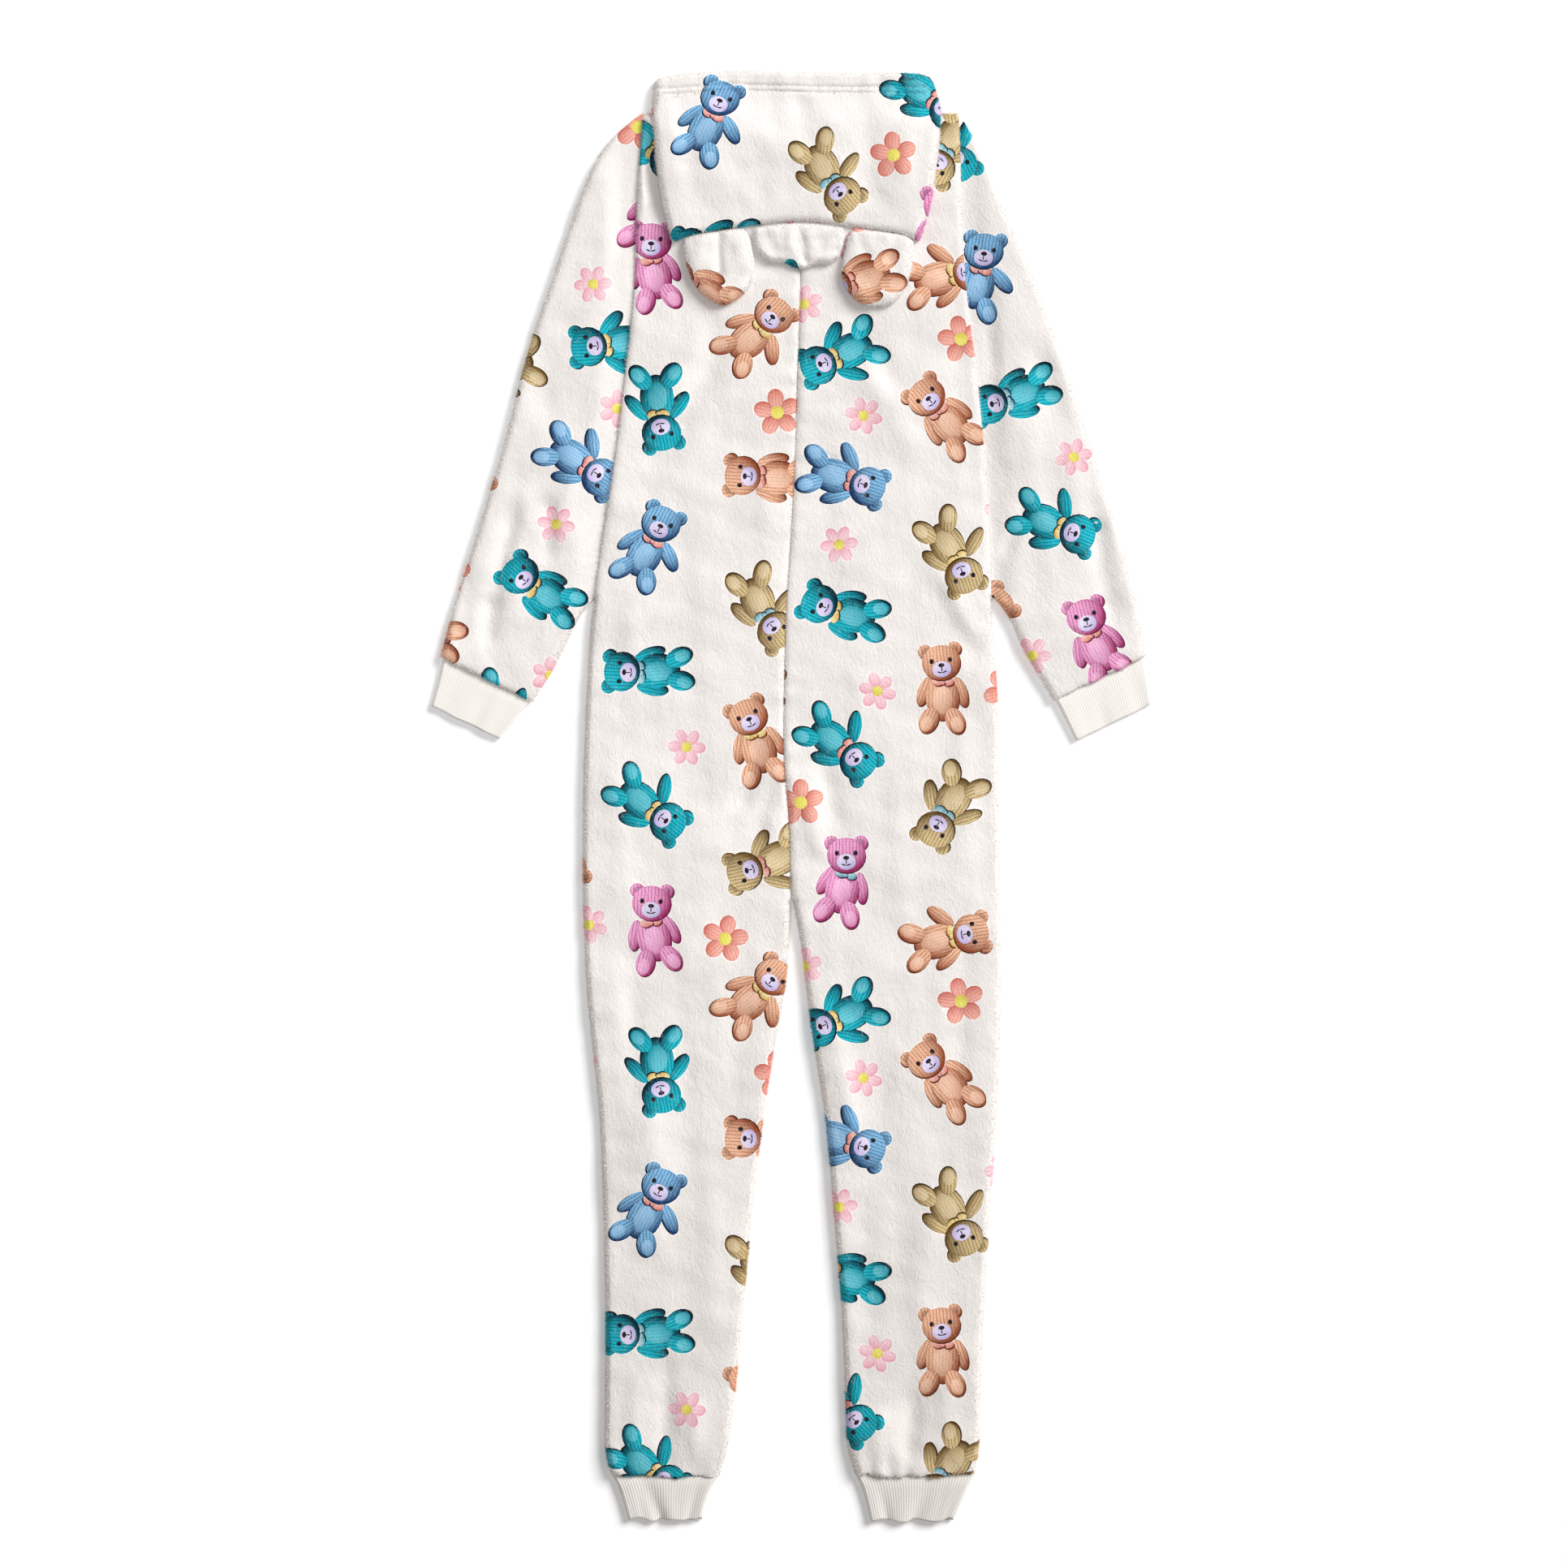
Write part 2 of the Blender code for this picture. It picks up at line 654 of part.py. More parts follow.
def rib_ring(line, top, ribs):
    """One ring of a cuff: ribs raised on its upper side, plain inside and flat underneath."""
    start, end = (line["x1"], line["y1"]), (line["x2"], line["y2"])
    width = math.dist(start, end)

    def point(distance, height):
        return mix(start[0], end[0], distance / width), mix(start[1], end[1], distance / width), height

    outer, inner = [point(0.0, top / 2)], [point(RIB_CLOTH, top / 2)]
    for i in range(2 * ribs + 1):
        d = mix(CUFF_EDGE, width - CUFF_EDGE, i / (2 * ribs))
        from_side = min(d, width - d)
        share = rise(from_side, CUFF_RADIUS)
        rib = RIB_HEIGHT * (i % 2)
        outer.append(point(d, mix(top / 2, top - RIB_HEIGHT, share) + rib))
        inset = RIB_CLOTH * near(from_side, CUFF_RADIUS)
        inside = mix(top / 2, top - RIB_HEIGHT - RIB_CLOTH, share)
        inner.append(point(d + (inset if d < width / 2 else -inset), inside))
    outer.append(point(width, top / 2))
    inner.append(point(width - RIB_CLOTH, top / 2))
    for d in (width - CUFF_RADIUS, width / 2, CUFF_RADIUS):
        outer.append(point(d, 0.0))
        inner.append(point(d, RIB_CLOTH))
    return outer, inner


def cuff(name, ribs):
    """One ribbed cuff, from its seam to its free end."""
    lines = CUFF_LINES[name]
    outer, inner = [], []
    for i, line in enumerate(lines):
        top = mix(CUFF_TOP, CUFF_END_TOP, i / (len(lines) - 1))
        rings = rib_ring(line, top, ribs)
        outer.append(rings[0])
        inner.append(rings[1])
    return add_tube(name, outer, inner, colour=(0.87, 0.84, 0.76), roughness=0.85)


def hood_base(y):
    """How high the hood's side rims end: on the surface past the shoulder, on the back below it."""
    return HOOD_BED * smooth((HOOD_DRAPE_Y - y) / (HOOD_DRAPE_Y - SHOULDER_Y - GAP))


def hood_front():
    """The hood's upper panel, from the face hem to the crown seam, with its sides turned down."""
    places = sorted({row["y"] for row in HOOD} | set(HOOD_EXTRA_ROWS), reverse=True)
    first, last = places[0], places[-1]
    outer, inner = [], []
    for y in places:
        left, right = value(HOOD, "left", y), value(HOOD, "right", y)
        width = right - left
        base, top = hood_base(y), value(HOOD, "top", y)
        to_face = smooth((y - HOOD_DRAPE_Y) / (first - HOOD_DRAPE_Y))
        to_crown = smooth((CROWN_EASE_Y - y) / (CROWN_EASE_Y - last))
        outer_row, inner_row = [], []
        for d in side_columns(width, RIM_STEPS, HOOD_COLUMNS):
            x = left + d
            face_y, crown_y = value(FACE_EDGE, "y", x, "x"), value(CROWN_SEAM, "y", x, "x")
            at = y + (face_y - first) * to_face + (crown_y - last) * to_crown
            from_side = min(d, width - d)
            share = rise(from_side, RIM_RADIUS)
            outer_row.append((x, at, mix(base, top, share)))
            inset = FLEECE * near(from_side, RIM_RADIUS)
            inside_x = x + (inset if d < width / 2 else -inset)
            inner_row.append((inside_x, at, mix(base, top - FLEECE, share)))
        outer.append(outer_row)
        inner.append(inner_row)
    return add_sheet("hood_front", outer, inner)


def roll_end(x):
    """Where the crown's roll ends, which is also where the ears' roots lie."""
    return value(CROWN_SEAM, "y", x, "x") - value(CROWN_ROLL, "drop", x, "x")


def hood_back():
    """The hood's back panel: along the back from the neck, round the crown's roll, up to the seam."""
    left_end, right_end = CROWN_ROLL[0]["x"], CROWN_ROLL[-1]["x"]
    middle, half = (HOOD_BED + ROLL_TOP) / 2, (ROLL_TOP - HOOD_BED) / 2
    columns = []
    for row in CROWN_ROLL:
        share = (row["x"] - left_end) / (right_end - left_end)
        roll_y = roll_end(row["x"])
        seam_y = roll_y + row["drop"] - CROWN_GAP
        reach = min(ROLL_REACH[1], max(ROLL_REACH[0], row["drop"] - CROWN_GAP - ROLL_LIP))
        centre_y = roll_y + reach
        outer, inner = [], []
        for t in BACK_ROWS:
            y = mix(NECK_Y, centre_y, t)
            x = mix(value(HOOD_BACK_SIDES, "left", y), value(HOOD_BACK_SIDES, "right", y), share)
            outer.append((x, y, HOOD_BED))
            inner.append((x, y, HOOD_BED + FLEECE))
        x = outer[-1][0]
        for angle in ROLL_ANGLES:
            turn, lift = math.cos(math.radians(angle)), math.sin(math.radians(angle))
            outer.append((x, centre_y - reach * turn, middle + half * lift))
            inner.append((x, centre_y - (reach - FLEECE) * turn, middle + (half - FLEECE) * lift))
        for t in (0.5, 1.0):
            y, z = mix(centre_y, seam_y, t), mix(ROLL_TOP, CROWN_TOP, t)
            outer.append((x, y, z))
            inner.append((x, y, z - FLEECE))
        columns.append((outer, inner))
    rows = range(len(columns[0][0]))
    outer = [[column[0][r] for column in columns] for r in rows]
    inner = [[column[1][r] for column in columns] for r in rows]
    return add_sheet("hood_back", outer, inner)


def hood_side(side):
    """The hood's lower side, flat on the surface, from the side fold to the front neck seam."""
    towards = 1.0 if side == "left" else -1.0
    upper, lower = [], []
    for row in HOOD_SIDE:
        y = row["y"]
        start = value(HOOD, side, y) + towards * HOOD_SIDE_INSET
        end = mix(start, -towards * (ZIP_WIDTH / 2 + GAP), row["share"])
        across = [mix(start, end, t) for t in (0.0, 0.5, 1.0)]
        upper.append([(x, y, FLEECE) for x in across])
        lower.append([(x, y, 0.0) for x in across])
    return add_sheet("hood_side_" + side, upper, lower)


def ear(side):
    """A round ear, two layers closed round the edge, sewn into the crown seam at its root."""
    rows = EAR_OUTLINE[side]
    root, tip = rows[0]["y"], rows[-1]["y"]
    outer, inner = [], []
    for row in rows:
        share = (root - row["y"]) / (root - tip)
        left, right = row["left"], row["right"]
        taper = smooth((share - EAR_TAPER_START) / (1.0 - EAR_TAPER_START))
        height = mix(EAR_TOP, EAR_TIP_TOP, taper)

        def place(d, left=left, y=row["y"], share=share):
            seat = roll_end(left + d) - EAR_GAP
            return left + d, mix(seat, y, min(1.0, share / EAR_ROOT_SHARE))

        def top(x, y, height=height):
            return height

        rings = flat_ring(place, right - left, top, FLEECE, bed=HOOD_BED, columns=EAR_COLUMNS)
        outer.append(rings[0])
        pull = FLEECE * smooth(share)
        inner.append([(x, y + pull, z) for x, y, z in rings[1]])
    return add_tube("ear_" + side, outer, inner, closed_end=True)


for old in list(bpy.data.objects):
    bpy.data.objects.remove(old)

garment = bpy.data.collections.new("hooded_pajama")
bpy.context.scene.collection.children.link(garment)

for wearer_side in ("left", "right"):
    back_panel(wearer_side)
    front_panel(wearer_side)
    sleeve(wearer_side)
    cuff("cuff_wrist_" + wearer_side, WRIST_RIBS)
    cuff("cuff_ankle_" + wearer_side, ANKLE_RIBS)
    hood_side(wearer_side)
    ear(wearer_side)
front_zip()
hood_front()
hood_back()
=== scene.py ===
# %% [markdown]
# # A fleece one-piece pajama with a bear-eared hood, laid flat
# The garment lies on its front, back up, on a white surface. Every piece of cloth is a thin shell
# on the form of its solid in the frame. This lesson reads each pattern piece's outline from the
# frame, lays a soft surface with folds on it, cuts the print into that surface, and then adds
# ribs, stitches, zip teeth and pile. The frame is loaded first.

# %% Load the frame
import math

import bmesh
import bpy
import numpy as np
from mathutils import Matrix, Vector
from mathutils.geometry import delaunay_2d_cdt
from mathutils.kdtree import KDTree


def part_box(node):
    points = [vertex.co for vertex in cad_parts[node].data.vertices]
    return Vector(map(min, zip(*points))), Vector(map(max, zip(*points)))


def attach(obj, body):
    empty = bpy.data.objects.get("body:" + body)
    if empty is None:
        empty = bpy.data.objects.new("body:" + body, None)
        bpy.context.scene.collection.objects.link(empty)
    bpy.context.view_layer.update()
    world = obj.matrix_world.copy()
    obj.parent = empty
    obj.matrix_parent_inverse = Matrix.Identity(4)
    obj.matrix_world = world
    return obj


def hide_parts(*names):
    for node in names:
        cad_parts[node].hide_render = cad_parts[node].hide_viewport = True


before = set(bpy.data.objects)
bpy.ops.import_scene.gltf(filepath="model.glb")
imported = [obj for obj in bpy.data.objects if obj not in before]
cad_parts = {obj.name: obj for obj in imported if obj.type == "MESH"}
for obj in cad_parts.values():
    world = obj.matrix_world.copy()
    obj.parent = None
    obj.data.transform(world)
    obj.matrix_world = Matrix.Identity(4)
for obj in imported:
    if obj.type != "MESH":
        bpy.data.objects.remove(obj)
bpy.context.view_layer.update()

MM = 0.001


# %% [markdown]
# ## Camera
# The photograph looks straight down at the garment and is square. One of its pixels covers
# 0.70 mm of cloth, so the frame is as wide as its pixels times that. A long lens from four metres
# up keeps the view nearly parallel, as in a product photograph.

# %% Camera
PHOTO_PIXELS = 1932
MM_PER_PIXEL = 0.70
FRAME_CENTRE = (-6.65 * MM, 9.45 * MM)
CAMERA_HEIGHT = 4.0
SENSOR_WIDTH = 36.0


def linked(name, data):
    """A new object in the scene that shows some data."""
    thing = bpy.data.objects.new(name, data)
    bpy.context.scene.collection.objects.link(thing)
    return thing


frame_width = PHOTO_PIXELS * MM_PER_PIXEL * MM
camera_data = bpy.data.cameras.new("camera")
camera_data.sensor_width = SENSOR_WIDTH
camera_data.lens = SENSOR_WIDTH * CAMERA_HEIGHT / frame_width
camera = linked("camera", camera_data)
camera.location = (*FRAME_CENTRE, CAMERA_HEIGHT)
bpy.context.scene.camera = camera
print("frame width", round(frame_width, 4), "m, lens", round(camera_data.lens, 1), "mm")

# %% [markdown]
# ## Light and floor
# The photograph has one broad soft light from the upper right, low enough to draw out the folds,
# and a bright surround. Its floor is plain white with soft shadows to the lower left, and the legs
# get darker below the knees. A sun with a wide disc lights the whole garment evenly, a soft spot
# above adds cooler light that fades out over the lower legs, and a warm world fills the shadows.
# FULL_LIGHT is what they add up to, and the floor glows a little, so it stays white.

# %% Light
KEY_FROM = (1.0, 0.84, 0.80)
KEY_STRENGTH = 3.72
KEY_DISC = math.radians(27)
TOP_PLACE = (0.0, 0.38, 3.0)
TOP_CONE = math.radians(39)
TOP_BLEND = 0.85
TOP_RADIUS = 0.3
TOP_SHARE = 0.20
TOP_SHADE = (0.955, 1.0, 1.035)
WORLD_SHADE = (1.0, 0.98, 0.96)
WORLD_STRENGTH = 0.28

key_data = bpy.data.lights.new("key", "SUN")
key_data.angle = KEY_DISC
key_data.energy = KEY_STRENGTH
key = linked("key", key_data)
key.location = KEY_FROM
key.rotation_euler = Vector(KEY_FROM).to_track_quat("Z", "Y").to_euler()

top_data = bpy.data.lights.new("top_spot", "SPOT")
top_data.spot_size = TOP_CONE
top_data.spot_blend = TOP_BLEND
top_data.shadow_soft_size = TOP_RADIUS
top_data.color = TOP_SHADE
top_data.energy = TOP_SHARE * 4 * math.pi**2 * TOP_PLACE[2] ** 2
linked("top_spot", top_data).location = TOP_PLACE

world = bpy.data.worlds.new("studio")
world.use_nodes = True
background = world.node_tree.nodes["Background"].inputs
background["Color"].default_value = (*WORLD_SHADE, 1.0)
background["Strength"].default_value = WORLD_STRENGTH
bpy.context.scene.world = world
bpy.context.scene.view_settings.view_transform = "Standard"
bpy.context.scene.view_settings.look = "None"
key_share = KEY_STRENGTH * Vector(KEY_FROM).normalized().z / math.pi
FULL_LIGHT = key_share + WORLD_STRENGTH * np.array(WORLD_SHADE) + TOP_SHARE * np.array(TOP_SHADE)
print("light on a level face:", FULL_LIGHT.round(3), "of which the key:", round(key_share, 3))

# %% Floor
FLOOR_SIZE = 30.0
FLOOR_DROP = 0.2 * MM
FLOOR_SHADE = (0.97, 0.97, 0.97, 1.0)
GLOW_SHADE = (1.0, 1.0, 1.0, 1.0)
FLOOR_GLOW = 0.15


def new_material(name, inputs):
    """A new material, with some inputs of its Principled shader set."""
    material = bpy.data.materials.new(name)
    material.use_nodes = True
    for title, value in inputs.items():
        material.node_tree.nodes["Principled BSDF"].inputs[title].default_value = value
    return material


half = FLOOR_SIZE / 2
corners = [(-half, -half, 0), (half, -half, 0), (half, half, 0), (-half, half, 0)]
floor_mesh = bpy.data.meshes.new("floor")
floor_mesh.from_pydata(corners, [], [(0, 1, 2, 3)])
floor_mesh.materials.append(new_material("white_surface", {
    "Base Color": FLOOR_SHADE, "Roughness": 0.9, "Specular IOR Level": 0.1,
    "Emission Color": GLOW_SHADE, "Emission Strength": FLOOR_GLOW,
}))
floor = linked("floor", floor_mesh)
floor.location.z = -FLOOR_DROP
print("floor:", FLOOR_SIZE, "m wide")

# %% [markdown]
# ## Colours
# Colours are written as they look on screen in full light, from 0 to 255, and turned into the
# linear values that Blender's shaders use. Each wool colour has a lit side and a shaded side,
# because the print shows knitted toys that look round.

# %% Colours


def linear(red, green, blue):
    """A screen colour in full light as the linear numbers that a shader needs."""
    channels = np.array((red, green, blue)) / 255.0
    curve = ((channels + 0.055) / 1.055) ** 2.4
    return tuple(np.where(channels <= 0.04045, channels / 12.92, curve) / FULL_LIGHT)


CREAM = linear(244, 238, 234)
HALO = linear(250, 246, 243)
BLACK = linear(38, 30, 40)
MUZZLE = (linear(234, 224, 250), linear(196, 182, 226))
WOOL = {
    "teal": (linear(34, 200, 218), linear(0, 46, 62)),
    "peach": (linear(255, 202, 168), linear(148, 74, 44)),
    "blue": (linear(146, 204, 246), linear(22, 58, 102)),
    "tan": (linear(232, 206, 154), linear(98, 70, 28)),
    "pink": (linear(255, 182, 226), linear(158, 46, 102)),
}
WOOL_ORDER = ("pink", "peach", "teal", "tan", "teal", "peach", "blue", "tan", "teal", "peach")
BOW = (
    (linear(250, 196, 186), linear(206, 110, 100)),
    (linear(190, 226, 232), linear(60, 140, 160)),
    (linear(250, 232, 170), linear(204, 160, 80)),
)
PETALS = (
    (linear(255, 222, 228), linear(240, 168, 182)),
    (linear(255, 190, 174), linear(206, 106, 92)),
)
STAMEN = (linear(248, 242, 124), linear(224, 204, 84))
print("wool colours:", len(WOOL), "petal colours:", len(PETALS))

# %% [markdown]
# ## Outlines from the frame
# Every piece lies flat, so its outline is what matters most. The outline is read by slicing the
# node's triangles with lines one millimetre apart and keeping the two ends of each slice. Solids
# in a frame have long straight chords, so each side is averaged a little, but never across a real
# corner. Pieces whose edge doubles back across the slices are sliced in a turned direction.

# %% Outlines from the frame
ROW_STEP = 1.0
EDGE_STEP = 4.0
END_MARGIN = 0.05
LEAST_GAP = 0.3
CORNER_CHANGE = 0.8
CORNER_TURN = math.radians(32)


def rotated(points, degrees):
    """Points in the plane, turned about the origin."""
    c, s = math.cos(math.radians(degrees)), math.sin(math.radians(degrees))
    points = np.asarray(points, float)
    x, y = points[..., 0], points[..., 1]
    return np.stack([c * x - s * y, s * x + c * y], -1)


def places_of(mesh):
    """The places of a mesh's vertices, one row each."""
    places = np.empty(len(mesh.vertices) * 3)
    mesh.vertices.foreach_get("co", places)
    return places.reshape(-1, 3)


def solid_edges(name, turn=0.0):
    """Both ends of each edge of a solid in millimetres, in a plane turned by some degrees."""
    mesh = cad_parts[name].data
    points = places_of(mesh) / MM
    points[:, :2] = rotated(points[:, :2], -turn)
    pairs = np.empty(len(mesh.edges) * 2, int)
    mesh.edges.foreach_get("vertices", pairs)
    return points[pairs.reshape(-1, 2)]


def slices(edges, rows):
    """Lowest x, highest x and highest z of a solid on each row."""
    found = []
    for y in rows:
        a, b = edges[:, 0], edges[:, 1]
        cross = (a[:, 1] - y) * (b[:, 1] - y) < 0
        share = ((y - a[cross, 1]) / (b[cross, 1] - a[cross, 1]))[:, None]
        hit = a[cross] + share * (b[cross] - a[cross])
        found.append((hit[:, 0].min(), hit[:, 0].max(), hit[:, 2].max()))
    return np.array(found)


def evened(values, reach):
    """A side averaged over its neighbours, with less reach near an end or a corner."""
    values = values.copy()
    bend = np.abs(np.diff(values, 2))
    stops = np.concatenate([[0], np.where(bend > CORNER_CHANGE * ROW_STEP)[0] + 1, [len(values) - 1]])
    away = np.abs(np.arange(len(values))[:, None] - stops[None, :]).min(1)
    for _ in range(2):
        total = np.concatenate([[0.0], np.cumsum(values)])
        span = np.minimum(away, reach)
        index = np.arange(len(values))
        values = (total[index + span + 1] - total[index - span]) / (2 * span + 1)
    return values


def spaced(loop, step=EDGE_STEP):
    """A closed outline with points a step apart that still has its corners."""
    gaps = np.linalg.norm(np.roll(loop, -1, 0) - loop, axis=1)
    loop = loop[gaps > LEAST_GAP]
    ahead = np.roll(loop, -1, 0) - loop
    behind = loop - np.roll(loop, 1, 0)
    cross = behind[:, 0] * ahead[:, 1] - behind[:, 1] * ahead[:, 0]
    turn = np.arctan2(cross, (behind * ahead).sum(1))
    corners = np.where(np.abs(turn) > CORNER_TURN)[0]
    if len(corners) == 0:
        corners = np.array([0])
    runs = []
    for start, end in zip(corners, np.roll(corners, -1)):
        count = (end - start) % len(loop) or len(loop)
        run = loop[(start + np.arange(count + 1)) % len(loop)]
        along = np.concatenate([[0.0], np.cumsum(np.linalg.norm(np.diff(run, axis=0), axis=1))])
        marks = np.linspace(0.0, along[-1], max(1, round(along[-1] / step)) + 1)[:-1]
        runs.append(np.stack([np.interp(marks, along, values) for values in run.T], 1))
    return np.concatenate(runs)


def outline(name, turn=0.0, reach=14, step=EDGE_STEP):
    """A node's outline seen from above, anticlockwise, in millimetres."""
    edges = solid_edges(name, turn)
    low, high = edges[..., 1].min() + END_MARGIN, edges[..., 1].max() - END_MARGIN
    rows = np.linspace(low, high, round((high - low) / ROW_STEP) + 1)
    found = slices(edges, rows)
    left, right = evened(found[:, 0], reach), evened(found[:, 1], reach)
    loop = np.concatenate([np.stack([right, rows], 1), np.stack([left, rows], 1)[::-1]])
    return rotated(spaced(loop, step), turn)


back_outlines = {name: outline(name) for name in ("back_left", "back_right")}
print("outline points:", {name: len(loop) for name, loop in back_outlines.items()})

# %% [markdown]
# ## Soft surfaces
# Laid cloth is a height over the surface for each point of the outline. Three things shape it.
# Rims turn down at its edges in a quarter round, each kind of edge with its own reach and its own
# height at the edge. Folds are soft ridges and troughs along short lines, listed one by one. Slow
# waves of a few tenths of a millimetre keep any stretch from being dead flat, and small puckers
# run along the seams, where thread draws the cloth in.

# %% Soft surfaces
WAVE_SPREAD = (0.75, 1.6)


def smooth(share):
    """Ease from 0 to 1."""
    t = np.clip(share, 0.0, 1.0)
    return t * t * (3.0 - 2.0 * t)


def waves(x, y, size, seed, count=14):
    """Slow irregular waves between about -1 and 1, with crests about a size apart."""
    random = np.random.RandomState(seed)
    total = 0.0
    for _ in range(count):
        angle, phase = random.uniform(0, math.tau, 2)
        length = size * random.uniform(*WAVE_SPREAD)
        total = total + np.sin(math.tau * (x * math.cos(angle) + y * math.sin(angle)) / length + phase)
    return total / math.sqrt(count)


def distance_to(points, starts, ends):
    """How far each point is from the nearest of some short segments, and the way away from it."""
    middles = (starts + ends) / 2
    tree = KDTree(len(middles))
    for number, (x, y) in enumerate(middles.tolist()):
        tree.insert((x, y, 0.0), number)
    tree.balance()
    nearest = np.array([tree.find((x, y, 0.0))[1] for x, y in points.tolist()], int)
    run = ends - starts
    length = np.maximum((run**2).sum(1), 1e-9)
    distances = np.full(len(points), 1e9)
    away = np.zeros((len(points), 2))
    for shift in (-1, 0, 1):
        number = np.clip(nearest + shift, 0, len(starts) - 1)
        share = np.clip(((points - starts[number]) * run[number]).sum(1) / length[number], 0.0, 1.0)
        gap = points - (starts[number] + share[:, None] * run[number])
        found = np.linalg.norm(gap, axis=1)
        closer = found < distances
        distances[closer], away[closer] = found[closer], gap[closer]
    return distances, away / np.maximum(distances, 1e-6)[:, None]


FOLD_FADE = 0.35
FOLD_SWAY = 0.16
SWAY_SHARE = 0.21
SWAY_LENGTH = 6.0
FOLD_SWELL = 0.2
SWELL_LENGTH = 13.0


def fold_heights(folds, x, y):
    """Ridges (height over 0) and troughs (under 0) along short lines that fade at both ends."""
    total = np.zeros_like(x)
    for number, (x1, y1, x2, y2, width, height) in enumerate(folds):
        run = np.array((x2 - x1, y2 - y1), float)
        length = np.hypot(*run)
        along = ((x - x1) * run[0] + (y - y1) * run[1]) / length
        side = ((y - y1) * run[0] - (x - x1) * run[1]) / length
        side = side + FOLD_SWAY * width * np.sin(along / (SWAY_SHARE * length + SWAY_LENGTH) + number)
        fade = FOLD_FADE * length
        shown = smooth(along / fade + 0.5) * smooth((length - along) / fade + 0.5)
        swell = 1.0 + FOLD_SWELL * np.sin(along / SWELL_LENGTH + number)
        total += height * shown * np.exp(-((side / width) ** 2)) * swell
    return total


def drape(rows, x, y):
    """Waves over a cloth. Each row of the table holds a height, a size and a seed."""
    return sum(height * waves(x, y, size, seed) for height, size, seed in rows)


one_fold = fold_heights(((0, 0, 0, 100, 8, 2.0),), np.array([0.0, 8.0, 16.0]), np.full(3, 50.0))
print("a 2 mm fold, 0, 8 and 16 mm from its line:", one_fold.round(2))

# %% Rims
RIM_RINGS = (0.03, 0.12, 0.27, 0.46, 0.7, 1.0)
ON_EDGE = 0.003


class Edge:
    """One kind of edge: how far in its rim reaches, how high it ends, and whether it is open."""

    def __init__(self, reach, end, under=None, inset=0.0, opens=True, rings=None):
        self.reach, self.end, self.inset, self.opens = reach, end, inset, opens
        self.under = end if under is None else under
        self.rings = rings or [reach * share for share in RIM_RINGS]

    def rise(self, distance):
        """0 at the edge, 1 where the rim meets the flat, on a quarter round."""
        inward = 1.0 - np.clip((distance - ON_EDGE) / self.reach, 0.0, 1.0)
        return np.sqrt(1.0 - inward**2)


def sides(loop):
    """Start, end and outward normal of each side of an anticlockwise outline."""
    ends = np.roll(loop, -1, 0)
    run = ends - loop
    length = np.maximum(np.linalg.norm(run, axis=1), 1e-9)[:, None]
    return loop, ends, np.stack([run[:, 1], -run[:, 0]], 1) / length


def inward_at(points, middles, out):
    """The way into an outline from points that lie on it, between their two nearest sides."""
    if len(points) == 0:
        return np.zeros((0, 2))
    squares = ((points[:, None, :] - middles) ** 2).sum(2)
    mean = -out[np.argsort(squares, 1)[:, :2]].sum(1)
    return mean / np.maximum(np.linalg.norm(mean, axis=1), 1e-9)[:, None]


def at_points(level, x, y):
    """A height that is one number or a rule over the plane."""
    return level(x, y) if callable(level) else level


def heights(points, loop, kinds, edges, top, wall, below=False):
    """Outer and inner heights of a cloth, and how far its inner side is drawn in from the edge."""
    x, y = points[:, 0], points[:, 1]
    starts, ends, out = sides(loop)
    outer = top(x, y)
    inner = outer - wall
    inset = np.zeros_like(points)
    for key, edge in edges.items():
        mine = kinds == key
        if not mine.any() or (below and edge.opens):
            continue
        distance, away = distance_to(points, starts[mine], ends[mine])
        rise = edge.rise(distance)
        end, under = at_points(edge.end, x, y), at_points(edge.under, x, y)
        outer = end + (outer - end) * rise
        inner = under + (inner - under) * rise
        if edge.inset:
            at_edge = distance < ON_EDGE
            away[at_edge] = inward_at(points[at_edge], (starts + ends)[mine] / 2, out[mine])
            inward = 1.0 - np.minimum(distance / edge.reach, 1.0)
            inset += away * (edge.inset * inward)[:, None]
    return outer, inner, inset


print("rise of a 9 mm rim at 1, 3 and 9 mm:", Edge(9.0, 0.0).rise(np.array([1.0, 3.0, 9.0])).round(2))

# %% [markdown]
# ## The print
# The fleece is printed all over with tossed toys and flowers. This lesson draws its own: a plain
# sitting toy bear with a bow, made of overlapping ovals, and a flower of five or six oval petals.
# Ovals are easy to place by hand and give soft outlines at any size. Each row of the table is one
# oval in millimetres: its middle, half its width, half its height, its turn in degrees and what it
# shows. Later rows cover earlier ones, as paint would. Each woollen part lies on a dark oval that is
# moved a little down and to the right, which draws the shade where the parts of a toy meet.

